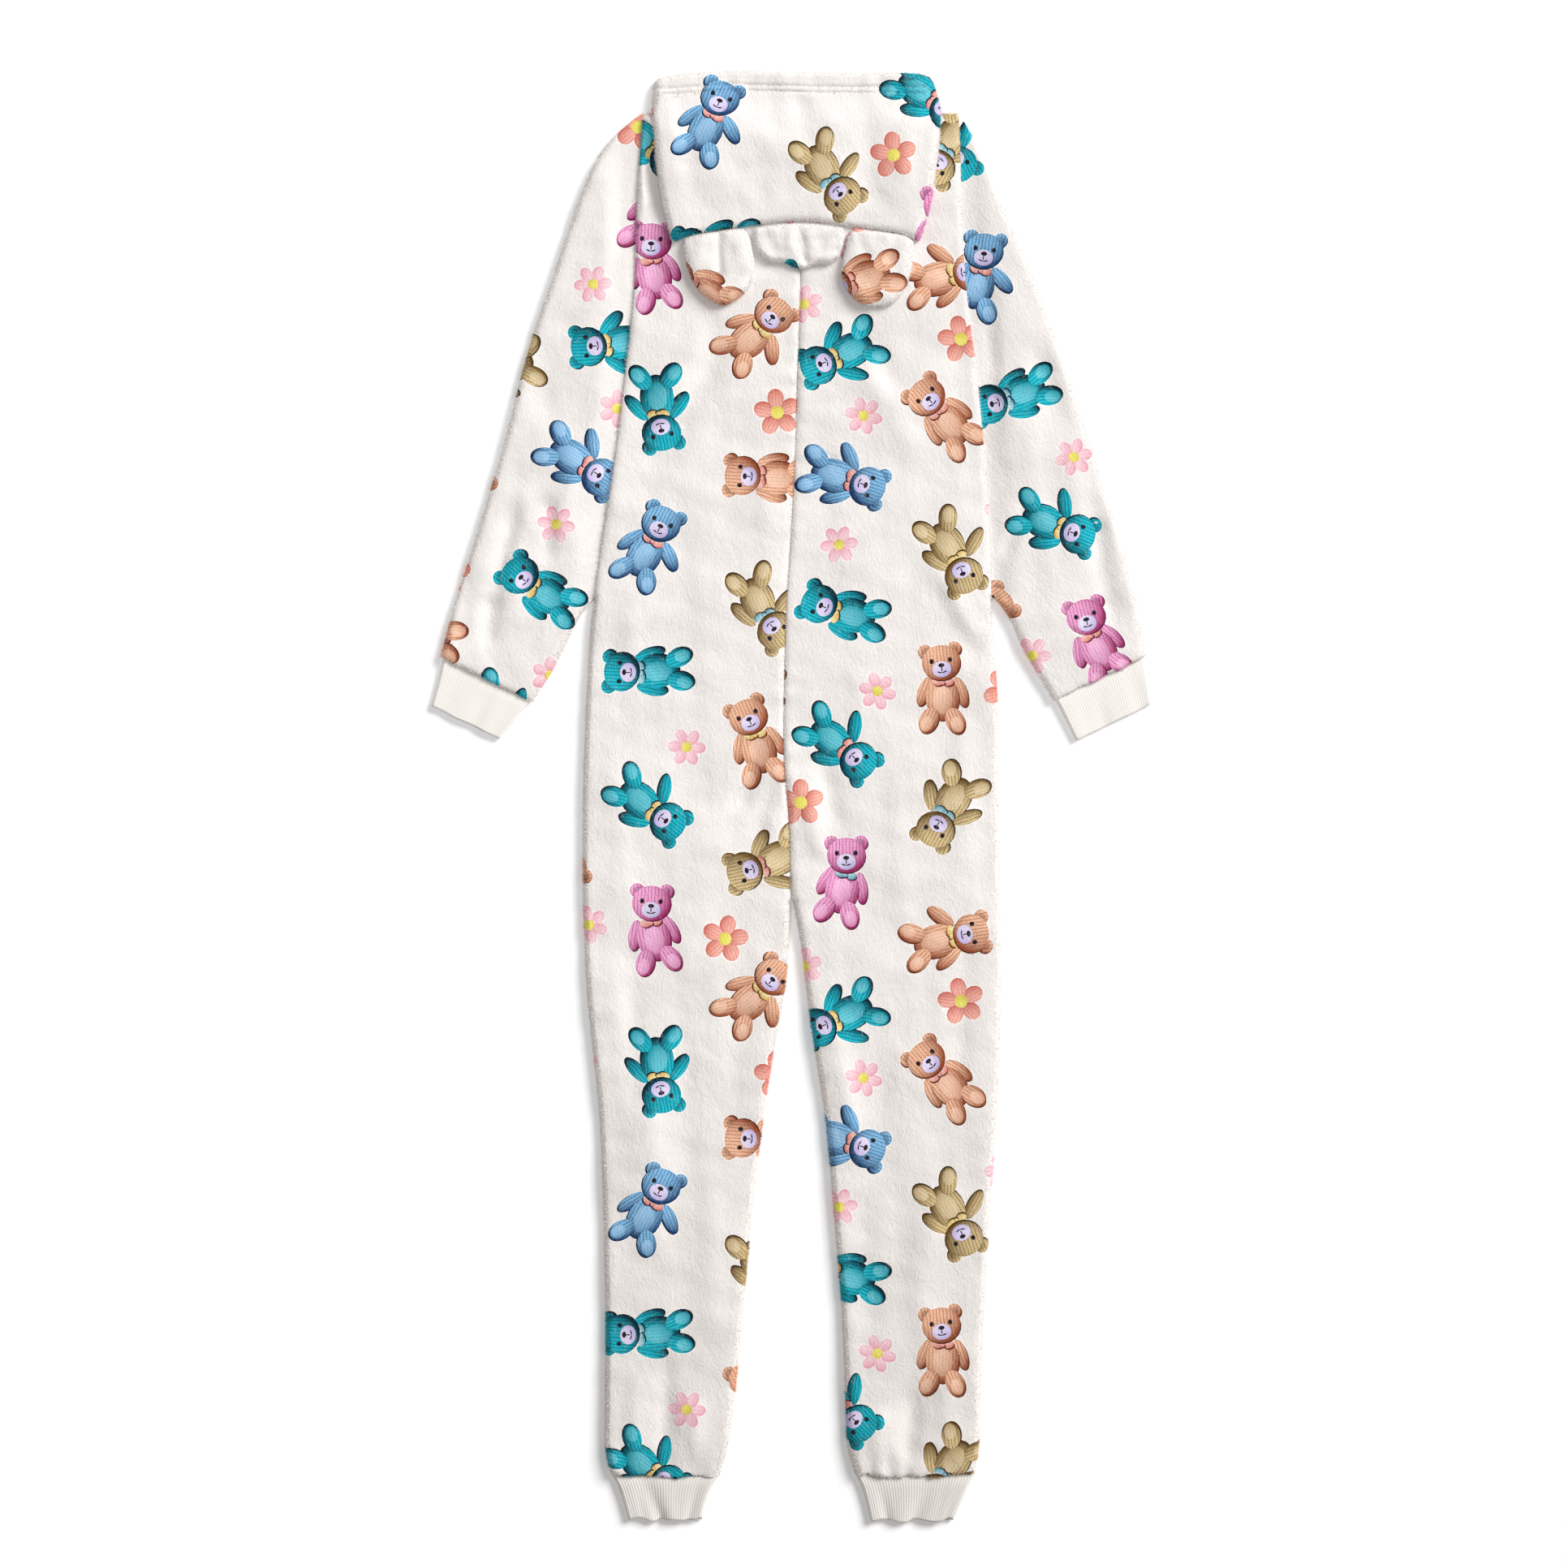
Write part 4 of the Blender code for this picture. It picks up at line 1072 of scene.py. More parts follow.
# %% Back panels
BACK_TOP = 9.5
ARMPIT_Y = 170.0
CROTCH_Y = -92.0
SHOULDER_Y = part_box("back_left")[1].y / MM
LEG_END_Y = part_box("back_left")[0].y / MM
NECK_HALF = 60.0
LEG_OVERHANG = 2.6
LEG_END_MARGIN = 4.0
OVERHANG_REACH = 8.0
BACK_FOLDS = (
    (-59, 387, -92, 322, 11, -2.0),
    (-92, 322, -123, 280, 12, -1.6),
    (-78, 400, -112, 330, 9, 0.9),
    (-111, 205, -146, 136, 10, 2.0),
    (-120, 180, -158, 120, 8, -1.2),
    (-30, 42, -44, -12, 8, -1.8),
    (-10, -20, -26, -62, 8, 1.6),
    (-14, 8, -32, -30, 6, -1.1),
    (-150, 30, -146, -110, 13, 1.2),
    (-128, -240, -118, -400, 15, 1.5),
    (-96, -180, -88, -330, 12, -1.1),
    (-109, -490, -107, -570, 9, -2.0),
    (-84, -520, -80, -575, 7, 1.1),
    (-132, -505, -138, -572, 8, 1.0),
    (68, 366, 106, 292, 14, 1.6),
    (50, 420, 88, 350, 10, -1.2),
    (118, 200, 156, 134, 10, 2.0),
    (124, 176, 162, 116, 8, -1.2),
    (24, 30, 42, -30, 9, -1.7),
    (14, -6, 24, -52, 7, 1.2),
    (148, 60, 144, -70, 13, 1.4),
    (30, -180, 52, -300, 11, 1.8),
    (70, -200, 78, -330, 12, -1.1),
    (118, -330, 110, -450, 14, 1.4),
    (103, -520, 101, -572, 9, -2.2),
    (76, -530, 72, -574, 7, 1.2),
    (132, -500, 136, -572, 9, 1.1),
    (-60, 240, -66, 90, 22, 0.9),
    (62, 250, 70, 80, 22, 0.9),
    (-120, 480, -126, 300, 12, -1.0),
    (132, 470, 148, 310, 12, -0.9),
    (-131, 560, -127, 506, 3.5, 1.2),
    (-124, 562, -120, 502, 4, -1.3),
    (-70, -20, -84, -150, 16, 1.0),
    (-44, -120, -52, -260, 12, -1.0),
    (-140, -130, -134, -260, 9, -1.1),
    (-70, -330, -66, -470, 12, 1.1),
    (92, 20, 100, -130, 16, 1.0),
    (150, -120, 144, -250, 10, -1.2),
    (62, -360, 66, -480, 10, -1.0),
    (20, 330, 24, 160, 18, -0.8),
    (-22, 300, -26, 130, 14, 0.8),
)
FOLD_DEPTH = 1.35
BACK_DRAPE = ((0.65, 74.0, 21), (0.28, 27.0, 22))
SEAM_REACH = 16.0
SEAM_EASE = 30.0
PUCKER = 0.45
LEG_END_SINK = 0.6
LEG_END_EASE = 26.0
GATHER = 0.7
GATHER_EASE = 34.0


def back_top(x, y):
    """Height of the laid backs away from their edges."""
    by_seam = np.exp(-np.abs(x) / SEAM_REACH) * smooth((y - CROTCH_Y) / SEAM_EASE)
    puckers = PUCKER * by_seam * waves(x * 0.2, y, 17.0, 5)
    leg_end = -LEG_END_SINK * smooth((LEG_END_Y + LEG_END_EASE - y) / LEG_END_EASE)
    gather = GATHER * waves(x, y * 0.25, 17.0, 31) * smooth((LEG_END_Y + GATHER_EASE - y) / GATHER_EASE)
    folds = FOLD_DEPTH * fold_heights(BACK_FOLDS, x, y)
    return BACK_TOP + folds + drape(BACK_DRAPE, x, y) + puckers + leg_end + gather


middle_height = back_top(np.array([-60.0]), np.array([200.0]))[0]
print("height at the middle of the left back:", round(middle_height, 1), "mm")

# %% Edges of the backs
KIND_MARGIN = 3.0
LEG_END_WAVES = ((1.3, 24.0, 41), (0.7, 9.0, 42))
BACK_EDGES = {
    "neck": Edge(4.0, 7.6, under=6.7),
    "seam": Edge(6.5, 6.9, under=4.9),
    "leg_end": Edge(4.8, 6.9, under=6.2),
    "armhole": Edge(7.0, 6.7, under=6.2),
    "shoulder": Edge(9.0, 0.0, inset=WALL),
    "side": Edge(5.0, 0.0, inset=WALL),
}


def back_kind(sign):
    """Which kind of edge a place on a back's outline is. The sign is -1 for the left back."""
    def kind(x, y, out_x, out_y):
        if y > SHOULDER_Y - KIND_MARGIN and out_y > 0.5:
            return "neck" if abs(x) < NECK_HALF else "shoulder"
        if y < LEG_END_Y + LEG_END_MARGIN - LEG_OVERHANG and out_y < -0.6:
            return "leg_end"
        if out_x * sign > 0:
            return "armhole" if y > ARMPIT_Y else "side"
        return "seam" if y > CROTCH_Y else "side"
    return kind


def with_leg_end(loop):
    """Draw the leg end a little over the cuff, with an uneven edge."""
    loop = loop.copy()
    low = smooth((LEG_END_Y + OVERHANG_REACH - loop[:, 1]) / OVERHANG_REACH)
    loop[:, 1] += low * (drape(LEG_END_WAVES, loop[:, 0], 0.0) - LEG_OVERHANG)
    return loop


pieces = {}
for side, sign, cut_at in (("left", -1, (35.0, 120.0)), ("right", 1, (232.0, 300.0))):
    name = "back_" + side
    loop = with_leg_end(back_outlines[name])
    pieces[name] = cloth(name + "_cloth", loop, back_kind(sign), BACK_EDGES, back_top, fleece, cut_at)

# %% [markdown]
# ## Sleeves
# A sleeve is a tube pressed flat: its top and its underside are one cloth that turns round the
# outer fold and the underarm fold. Its upper end tucks under the back's lip, so it is low there
# and rises to full height a little outside the armhole. The other end puffs over the wrist cuff.
# Creases gather in the crook of the elbow and below the shoulder, as in the photograph.

# %% Sleeves
SLEEVE_TOP = 9.4
TUCK_TOP = 5.8
TUCK_RISE = 25.0
TUBE_MIDDLE = 3.4
WRIST_TURN = {"left": -26.0, "right": 25.8}
SLEEVE_GRAIN = {"left": -17.0, "right": 17.0}
SLEEVE_FOLDS = (
    (-238, 247, -257, 167, 8, -2.6),
    (-257, 167, -262, 130, 8, -2.2),
    (-226, 262, -244, 180, 8, 1.2),
    (-208, 252, -212, 205, 7, -2.2),
    (-146, 560, -150, 436, 8, -1.9),
    (-158, 500, -168, 380, 12, 1.0),
    (-196, 420, -214, 330, 14, -1.0),
    (-180, 300, -202, 230, 10, 1.0),
    (-276, 190, -288, 130, 7, -1.1),
    (166, 452, 170, 335, 8, -2.6),
    (152, 540, 156, 430, 9, -1.1),
    (204, 244, 180, 207, 7, -2.4),
    (216, 262, 190, 200, 8, 1.2),
    (262, 240, 276, 150, 9, -2.0),
    (214, 380, 226, 320, 10, -1.5),
    (186, 360, 206, 260, 12, 1.0),
    (238, 290, 250, 190, 10, 0.9),
)
SLEEVE_EDGES = {
    "tuck": Edge(2.5, 5.1, under=4.9, rings=[0.5, 2.5]),
    "cuff": Edge(4.6, 6.9, under=6.2),
    "fold": Edge(7.0, TUBE_MIDDLE, inset=WALL, opens=False),
}
SLEEVE_DRAPE = ((0.5, 58.0, 51), (0.25, 24.0, 52))
SLEEVE_BED = 0.05
CUFF_SINK = 0.8
TUCK_MARGIN = (2.0, 1.5)
SLEEVE_END_Y = 130.0
UNDER_ARM = (60.0, 12.0)
CUFF_LINE = (40.0, 0.48, 300.0, 30.0)
UNEVEN = 0.8


def side_of_back(side):
    """The outer edge of a back, as a rule that gives |x| for any y."""
    column = 0 if side == "left" else 1
    rows = np.linspace(LEG_END_Y + 1.0, SHOULDER_Y - 1.0, 200)
    found = np.abs(slices(solid_edges("back_" + side), rows)[:, column])
    return lambda y: np.interp(y, rows, found)


def sleeve_rules(side):
    """Kinds of edge, top height and cuff direction of one sleeve."""
    edge_of = side_of_back(side)
    axis = rotated((0.0, -1.0), WRIST_TURN[side])

    def kind(x, y, out_x, out_y):
        if y > ARMPIT_Y - TUCK_MARGIN[0] and abs(x) < edge_of(y) + TUCK_MARGIN[1]:
            return "tuck"
        at_end = y < SLEEVE_END_Y and out_x * axis[0] + out_y * axis[1] > 0.8
        return "cuff" if at_end else "fold"

    def top(x, y):
        outside = np.abs(x) - edge_of(y) + UNDER_ARM[0] * smooth((ARMPIT_Y - y) / UNDER_ARM[1])
        lift = smooth(outside / TUCK_RISE)
        at, slope, outer_x, ease = CUFF_LINE
        to_cuff = smooth((y - at - slope * (outer_x - np.abs(x))) / ease)
        waved = drape(SLEEVE_DRAPE, x, y) + FOLD_DEPTH * fold_heights(SLEEVE_FOLDS, x, y)
        return TUCK_TOP + (SLEEVE_TOP - TUCK_TOP + waved) * lift - CUFF_SINK * (1.0 - to_cuff)

    return kind, top, axis


def with_overhang(loop, axis):
    """Draw the end of a sleeve a little over its cuff, with an uneven edge."""
    along = loop @ axis
    low = smooth((along - along.max() + OVERHANG_REACH) / OVERHANG_REACH)
    uneven = LEG_OVERHANG + UNEVEN * waves(loop[:, 0], loop[:, 1], 19.0, 61)
    return loop + (low * uneven)[:, None] * axis


for side, cut_at in (("left", (150.0, 40.0)), ("right", (20.0, 210.0))):
    name = "sleeve_" + side
    kind, top, axis = sleeve_rules(side)
    pieces[name] = cloth(
        name + "_cloth", with_overhang(outline(name, reach=10), axis), kind, SLEEVE_EDGES, top, fleece,
        cut_at, SLEEVE_GRAIN[side], bottom=level_at(SLEEVE_BED),
    )

# %% [markdown]
# ## Hood
# The hood is folded down on the back. Its upper panel runs from the face hem at the top to the
# crown seam, and its sides turn down. The hem is turned under and stitched with two rows, which
# draw two soft grooves across the panel. The back panel shows only as the roll between the ears.

# %% Hood's upper panel
HEM_ROWS = (12.5, 17.5)
HEM_SINK = 1.3
HEM_GROOVE = 1.2
HEM_NET = (6.5, 8.5, 10.2, 11.4, 12.5, 13.6, 15.0, 16.4, 17.5, 18.6, 20.0)
HEM_PUCKER = 0.4
HEM_LIFT = 0.4
HEM_MARGIN = 4.0
HEM_EASE = 6.0
HOOD_FOLDS = (
    (-88.6, 590, -84, 515, 10, -0.8),
    (-70, 585, -62, 530, 12, 0.9),
    (7, 601, 15, 555, 9, -1.5),
    (60, 590, 70, 500, 11, -1.4),
    (36, 580, 40, 520, 12, 0.8),
    (-40, 540, -20, 505, 12, -0.8),
    (98, 570, 92, 510, 10, 1.0),
    (-105, 596, -98, 500, 8, 0.8),
    (104, 592, 100, 520, 8, 0.6),
)
HOOD_DRAPE = ((0.6, 52.0, 72), (0.22, 21.0, 73))
HOOD_BED = 9.4
DRAPE_Y = 592.0
DRAPE_EASE = 4.4
CROWN_BELOW = 505.0
FACE_ABOVE = 600.0
CROWN_SPAN = (-100.0, 106.0)
HOOD_SPAN = (494.0, 618.0)

crown_rows = np.linspace(*CROWN_SPAN, 104)
crown_found = slices(solid_edges("hood_front", 90.0), -crown_rows)
hood_rows = np.linspace(*HOOD_SPAN, 63)
hood_levels = evened(slices(solid_edges("hood_front"), hood_rows)[:, 2], 6)


def crown_y(x):
    """Where the crown seam lies for any x."""
    return np.interp(x, crown_rows, crown_found[:, 0])


def face_y(x):
    """Where the hood's face edge lies for any x."""
    return np.interp(x, crown_rows, crown_found[:, 1])


def hood_top(x, y):
    """Height of the hood's upper panel, with its stitched hem."""
    from_face = face_y(x) - y
    hem = sum(-HEM_SINK * np.exp(-(((from_face - row) / HEM_GROOVE) ** 2)) for row in HEM_ROWS)
    in_hem = smooth((HEM_ROWS[1] + HEM_MARGIN - from_face) / HEM_EASE)
    pucker = HEM_PUCKER * waves(x, y * 0.3, 13.0, 71) * in_hem
    level = np.interp(y, hood_rows, hood_levels)
    folds = fold_heights(HOOD_FOLDS, x, y)
    return level + hem + pucker + HEM_LIFT * in_hem + drape(HOOD_DRAPE, x, y) + folds


def hood_end(x, y):
    """How high the hood's side rims end: on the back, or on the surface past the shoulder."""
    return HOOD_BED * smooth((DRAPE_Y - y) / DRAPE_EASE)


def hood_kind(x, y, out_x, out_y):
    """Which kind of edge a place on the upper panel's outline is."""
    if out_y < -0.55 and y < CROWN_BELOW:
        return "crown"
    return "face" if out_y > 0.45 and y > FACE_ABOVE else "side"


HOOD_EDGES = {
    "face": Edge(4.6, 4.6, under=4.0, rings=[0.14, 0.6, 1.3, 2.2, 3.3, 4.6, *HEM_NET]),
    "crown": Edge(5.5, 13.0, under=12.3),
    "side": Edge(6.5, hood_end, inset=WALL),
}
pieces["hood_front"] = cloth(
    "hood_front_cloth", outline("hood_front", 90.0, reach=6), hood_kind, HOOD_EDGES, hood_top, fleece,
    cut_at=(70.0, 300.0), grain=4.0, spacing=3.6,
)

# %% Hood's back panel
FLAP_FOLDS = (
    (6, 487, 13, 455, 3.4, -2.3),
    (-2, 484, 3, 462, 5.0, 1.0),
    (-24, 486, -14, 466, 5.0, -1.0),
    (22, 480, 30, 468, 5.0, -0.7),
    (40, 484, 37, 466, 3.6, -1.0),
    (-30, 484, -27, 470, 3.6, -0.8),
)
FLAP_SWAY = 1.1
FLAP_DRAPE = ((0.35, 12.0, 81),)
FLAP_TOP = 15.9
FLAP_LOW = 11.8
FLAP_SPAN = (-34.0, 46.0)
FLAP_EASE = 4.0
FLAP_RISE = 5.0
FLAP_HANG = 8.0
FLAP_EDGES = {
    "hidden": Edge(2.5, 10.6, under=9.5, rings=[0.6, 2.5]),
    "roll": Edge(5.0, 9.6, inset=WALL),
}


def flap_top(x, y):
    """Height of the hood's back panel: low under the upper panel, high in the roll between the ears."""
    between = smooth((x - FLAP_SPAN[0]) / FLAP_EASE) * smooth((FLAP_SPAN[1] - x) / FLAP_EASE)
    rise = smooth((crown_y(x) - y) / FLAP_RISE) * between
    folds = fold_heights(FLAP_FOLDS, x, y) + drape(FLAP_DRAPE, x, y)
    return FLAP_LOW + (FLAP_TOP - FLAP_LOW + folds) * rise


def flap_kind(x, y, out_x, out_y):
    """Which kind of edge a place on the back panel's outline is."""
    return "roll" if y < crown_y(x) + 1.0 else "hidden"


flap_loop = outline("hood_back", 90.0, reach=3, step=2.5)
hangs = smooth((crown_y(flap_loop[:, 0]) - FLAP_HANG - flap_loop[:, 1]) / FLAP_HANG)
flap_loop[:, 1] += FLAP_SWAY * hangs * waves(flap_loop[:, 0], 0.0, 19.0, 82)
pieces["hood_back"] = cloth(
    "hood_back_cloth", flap_loop, flap_kind, FLAP_EDGES, flap_top, fleece,
    cut_at=(5.0, 20.0), grain=184.0, spacing=3.0,
)

# %% [markdown]
# ## Ears
# Each ear is two rounds of fleece sewn together, turned, lightly filled and caught in the crown
# seam. So it is a low closed form: both layers meet at a seam round its edge. The left ear has a
# crease from its root down the middle.

# %% Ears
EAR_BED = 9.4
EAR_TOP = 17.2
EAR_MIDDLE = 12.3
EAR_ROOT_RISE = 5.0
EAR_ROOT_Y = 468.0
EAR_ROOT_EASE = 8.0
EAR_FOLDS = (
    (-62.6, 488, -62.0, 440, 3.4, -1.9),
    (-76, 478, -80, 452, 6.0, 0.8),
    (-47, 476, -44, 450, 6.0, 0.7),
    (58, 482, 62, 462, 4.0, -0.9),
    (88, 482, 84, 458, 4.0, -1.1),
    (74, 470, 74, 440, 10.0, 0.6),
)
EAR_DRAPE = ((0.3, 19.0, 91),)
EAR_GRAIN = 20.0
EAR_EDGES = {
    "root": Edge(4.0, EAR_MIDDLE, opens=False),
    "seam": Edge(8.0, EAR_MIDDLE, opens=False),
}


def ear_top(x, y):
    """Height of an ear: a soft crown with creases from its root."""
    return EAR_TOP + fold_heights(EAR_FOLDS, x, y) + drape(EAR_DRAPE, x, y)


def ear_kind(x, y, out_x, out_y):
    """Which kind of edge a place on an ear's outline is."""
    return "root" if out_y > 0.8 else "seam"


for side, cut_at in (("left", (300.0, 70.0)), ("right", (120.0, 400.0))):
    name = "ear_" + side
    loop = outline(name, reach=4, step=2.5)
    loop[:, 1] += EAR_ROOT_RISE * smooth((loop[:, 1] - EAR_ROOT_Y) / EAR_ROOT_EASE)
    pieces[name] = cloth(
        name + "_cloth", loop, ear_kind, EAR_EDGES, ear_top, fleece, cut_at, EAR_GRAIN,
        spacing=2.6, bottom=level_at(EAR_BED), hollow=False,
    )

# %% [markdown]
# ## Hidden fronts
# The fronts and the hood's lower sides lie face down on the surface under the backs. Nothing of
# them shows in the photograph, so they are plain: the same printed fleece, flat where it rests,
# with softly rounded raw edges inside the seams.

# %% Hidden fronts
FRONT_BED = 0.05
FRONT_EDGES = {"edge": Edge(1.6, 1.0, under=1.7, rings=[0.3, 1.6])}
FRONTS_CUT_AT = {
    "front_left": (210.0, 15.0), "front_right": (60.0, 330.0),
    "hood_side_left": (0.0, 0.0), "hood_side_right": (180.0, 90.0),
}


def front_kind(x, y, out_x, out_y):
    """Every edge of a hidden piece is of one kind."""
    return "edge"


for name, cut_at in FRONTS_CUT_AT.items():
    pieces[name] = cloth(
        name + "_cloth", outline(name, step=6.0), front_kind, FRONT_EDGES, level_at(FRONT_BED), fleece,
        cut_at, spacing=9.0, face_down=True, inner_spacing=24.0,
    )

# %% [markdown]
# ## Small helpers for Geometry Nodes
# What repeats follows a rule, so a node tree makes it: the raised ribs of the cuffs, the stitches,
# the zip's teeth and the pile. One helper builds a tree with named inputs. Another puts a tree on
# an object, sets its inputs by their identifiers, and turns the result into a plain mesh.

# %% Helpers for Geometry Nodes


class Tree(Graph):
    """A geometry tree with named inputs."""

    prefix = "GeometryNode"

    def __init__(self, name, **inputs):
        super().__init__(bpy.data.node_groups.new(name, "GeometryNodeTree"))
        sockets = self.tree.interface
        sockets.new_socket("Geometry", in_out="INPUT", socket_type="NodeSocketGeometry")
        kinds = {float: "NodeSocketFloat", int: "NodeSocketInt"}
        self.titles = {key: key.replace("_", " ").capitalize() for key in inputs}
        for key, value in inputs.items():
            kind = kinds.get(type(value), "NodeSocketMaterial")
            made = sockets.new_socket(self.titles[key], in_out="INPUT", socket_type=kind)
            made.default_value = value
        sockets.new_socket("Geometry", in_out="OUTPUT", socket_type="NodeSocketGeometry")
        self.entry = self.tree.nodes.new("NodeGroupInput")
        self.exit = self.tree.nodes.new("NodeGroupOutput")
        self.source = Value(self, self.entry.outputs["Geometry"])

    def given(self, key):
        return Value(self, self.entry.outputs[self.titles[key]])

    def size(self, *keys):
        """A vector of three named inputs."""
        x, y, z = (self.given(key) for key in keys)
        return self.out("ShaderNodeCombineXYZ", n0=x, n1=y, n2=z)

    def attribute(self, title):
        return self.out("InputNamedAttribute", {"data_type": "FLOAT"}, "Attribute", Name=title)

    def finish(self, geometry):
        """Realize what the tree made, give it its material and send it out."""
        real = self.out("RealizeInstances", Geometry=geometry)
        clad = self.out("SetMaterial", Geometry=real, Material=self.given("material"))
        self.put(clad, self.exit.inputs["Geometry"])


def grown(name, source, tree, **values):
    """What a tree makes of a mesh, as a plain object of its own."""
    holder = linked(name + "_source", source)
    modifier = holder.modifiers.new("grow", "NODES")
    modifier.node_group = tree.tree
    items = tree.tree.interface.items_tree
    sockets = {item.name: item.identifier for item in items if item.in_out == "INPUT"}
    for key, value in values.items():
        modifier[sockets[tree.titles[key]]] = value
    graph = bpy.context.evaluated_depsgraph_get()
    mesh = bpy.data.meshes.new_from_object(holder.evaluated_get(graph), depsgraph=graph)
    mesh.name = name
    bpy.data.objects.remove(holder)
    print(name, len(mesh.polygons), "faces")
    return linked(name, mesh)


def rest(mesh, least=0.0):
    """Raise each vertex of a mesh that lies under the surface, and tell how low the lowest lay."""
    places = places_of(mesh)
    lowest = places[:, 2].min()
    places[:, 2] = np.maximum(places[:, 2], least)
    mesh.vertices.foreach_set("co", places.ravel())
    mesh.update()
    return lowest


def point_values(mesh, title, values):
    """Give each point of a mesh a number that a tree or a shader can read."""
    layer = mesh.attributes.new(title, "FLOAT", "POINT")
    layer.data.foreach_set("value", np.asarray(values, np.float32).ravel())


print("nodes of a tree are of kind", Tree.prefix, "and so on")

# %% [markdown]
# ## Ribbed cuffs
# A cuff is a short tube of rib knit, pressed flat, sewn to the sleeve or leg and narrower towards
# its free end. It is built as rings of points round a flattened tube, outside and then back up
# inside, so that its mouth shows a real edge. A Geometry Nodes tree then raises the ribs: it moves
# each point along its normal by a cosine of its turn round the tube.

# %% Rib knit
RIB_SHADE = linear(251, 246, 239)
LOOP_PITCH = 1.5 * MM


def rib_material():
    """Ivory rib knit, with fine loops along each rib, and painted shade that darkens the ankle cuffs."""
    material = new_material("rib_knit", {"Roughness": 0.9, "Specular IOR Level": 0.2, "Sheen Weight": 0.12})
    n = Shading(material)
    flat = n.map("flat")
    loops = n.math("SINE", n.parts(flat)[1] * (math.tau / LOOP_PITCH)) * 0.12
    fuzz, cloud = n.noise(flat, 900.0, 3.0), n.noise(flat, 60.0, 2.0)
    # The per-cuff factor read here is painted shade: ankle cuffs are the same knit, darkened for dimmer
    # light.
    tone = (cloud * 0.05 + fuzz * 0.05 + loops * 0.02 + 0.95) * n.attribute("rib_painted_shade", "Fac")
    n.finish(n.scaled(RIB_SHADE, tone), loops + fuzz * 0.9, strength=0.5, distance=0.35 * MM)
    return material


rib_knit = rib_material()
print("rib nodes:", len(rib_knit.node_tree.nodes))

# %% Form of the cuffs
RIB_PITCH = 2.15
POINTS_A_RIB = 6
RIB_WALL = 1.7
RIB_DEPTH = {"ankle": 0.11, "wrist": 0.06}
# Painted shade: ankle cuffs are made 0.88 as bright as the wrists, for the dimmer light at the feet.
RIB_PAINTED_SHADE = {"ankle": 0.88, "wrist": 1.0}
CUFF_HEIGHTS = {"ankle": (6.7, 6.2), "wrist": (6.5, 5.2)}
CUFF_FLARE = {"ankle": 4.6, "wrist": 1.6}
END_SWAY = {"ankle": 1.5, "wrist": 0.5}
SIDE_EASE = {"ankle": 4.0, "wrist": 8.0}
SIDE_ROWS = 20
CUFF_TUCK = 4.0
CUFF_EASE = 10.0
FLARE_REACH = 9.0
CUFF_PINCH = (2.2, 4.7)
CUFF_ROWS = 20
INNER_ROWS = 6
OUTSIDE, LIP, INSIDE = 0.0, 0.45, 1.0
LIP_DROP = 0.35
INNER_FOLD = 0.8
THIN_WALL = 0.35
MOST_WALL = 0.42
FOLD_PIVOT = 0.6
CUFF_WAVE = 0.25
CUFF_FOLDS = {
    "cuff_ankle_left": (
        (-0.13, 0.17, -2.2, 0.20), (0.04, 0.22, 0.9, 0.12),
        (0.34, 0.12, -1.3, -0.06), (-0.36, 0.1, 0.5, 0.0),
    ),
    "cuff_ankle_right": (
        (0.10, 0.2, -2.1, -0.16), (-0.06, 0.22, 0.8, -0.1),
        (-0.32, 0.12, -1.3, 0.06), (0.34, 0.1, 0.6, 0.0),
    ),
    "cuff_wrist_left": ((0.1, 0.2, -0.9, 0.05),),
    "cuff_wrist_right": ((-0.1, 0.2, -0.9, -0.05),),
}


def tube_section(width, low, high, count):
    """Points round a flattened tube, from the left end of its top: across, and height."""
    radius = (high - low) / 2
    straight = width - 2 * radius
    bend = math.pi * radius
    s = np.arange(count) * (2 * straight + math.tau * radius) / count
    x, z = np.zeros(count), np.zeros(count)
    top = s < straight
    right = ~top & (s < straight + bend)
    under = ~top & ~right & (s < 2 * straight + bend)
    left = ~(top | right | under)
    x[top], z[top] = s[top] - straight / 2, high
    x[under], z[under] = straight / 2 - (s[under] - straight - bend), low
    angle = (s[right] - straight) / radius
    x[right], z[right] = straight / 2 + radius * np.sin(angle), low + radius + radius * np.cos(angle)
    angle = (s[left] - 2 * straight - bend) / radius
    x[left], z[left] = -straight / 2 - radius * np.sin(angle), low + radius - radius * np.cos(angle)
    return x, z


def cuff_steps():
    """Rings down a cuff's outside, over its lip and up inside: (way down, depth, share of rib)."""
    down = smooth(np.linspace(0.0, 1.0, CUFF_ROWS)) * 0.5 + np.linspace(0, 0.5, CUFF_ROWS)
    up = np.linspace(1.0, 0.0, INNER_ROWS)
    return [(t, OUTSIDE, 1.0) for t in down] + [(1.0, LIP, 0.5)] + [(t, INSIDE, 0.0) for t in up]


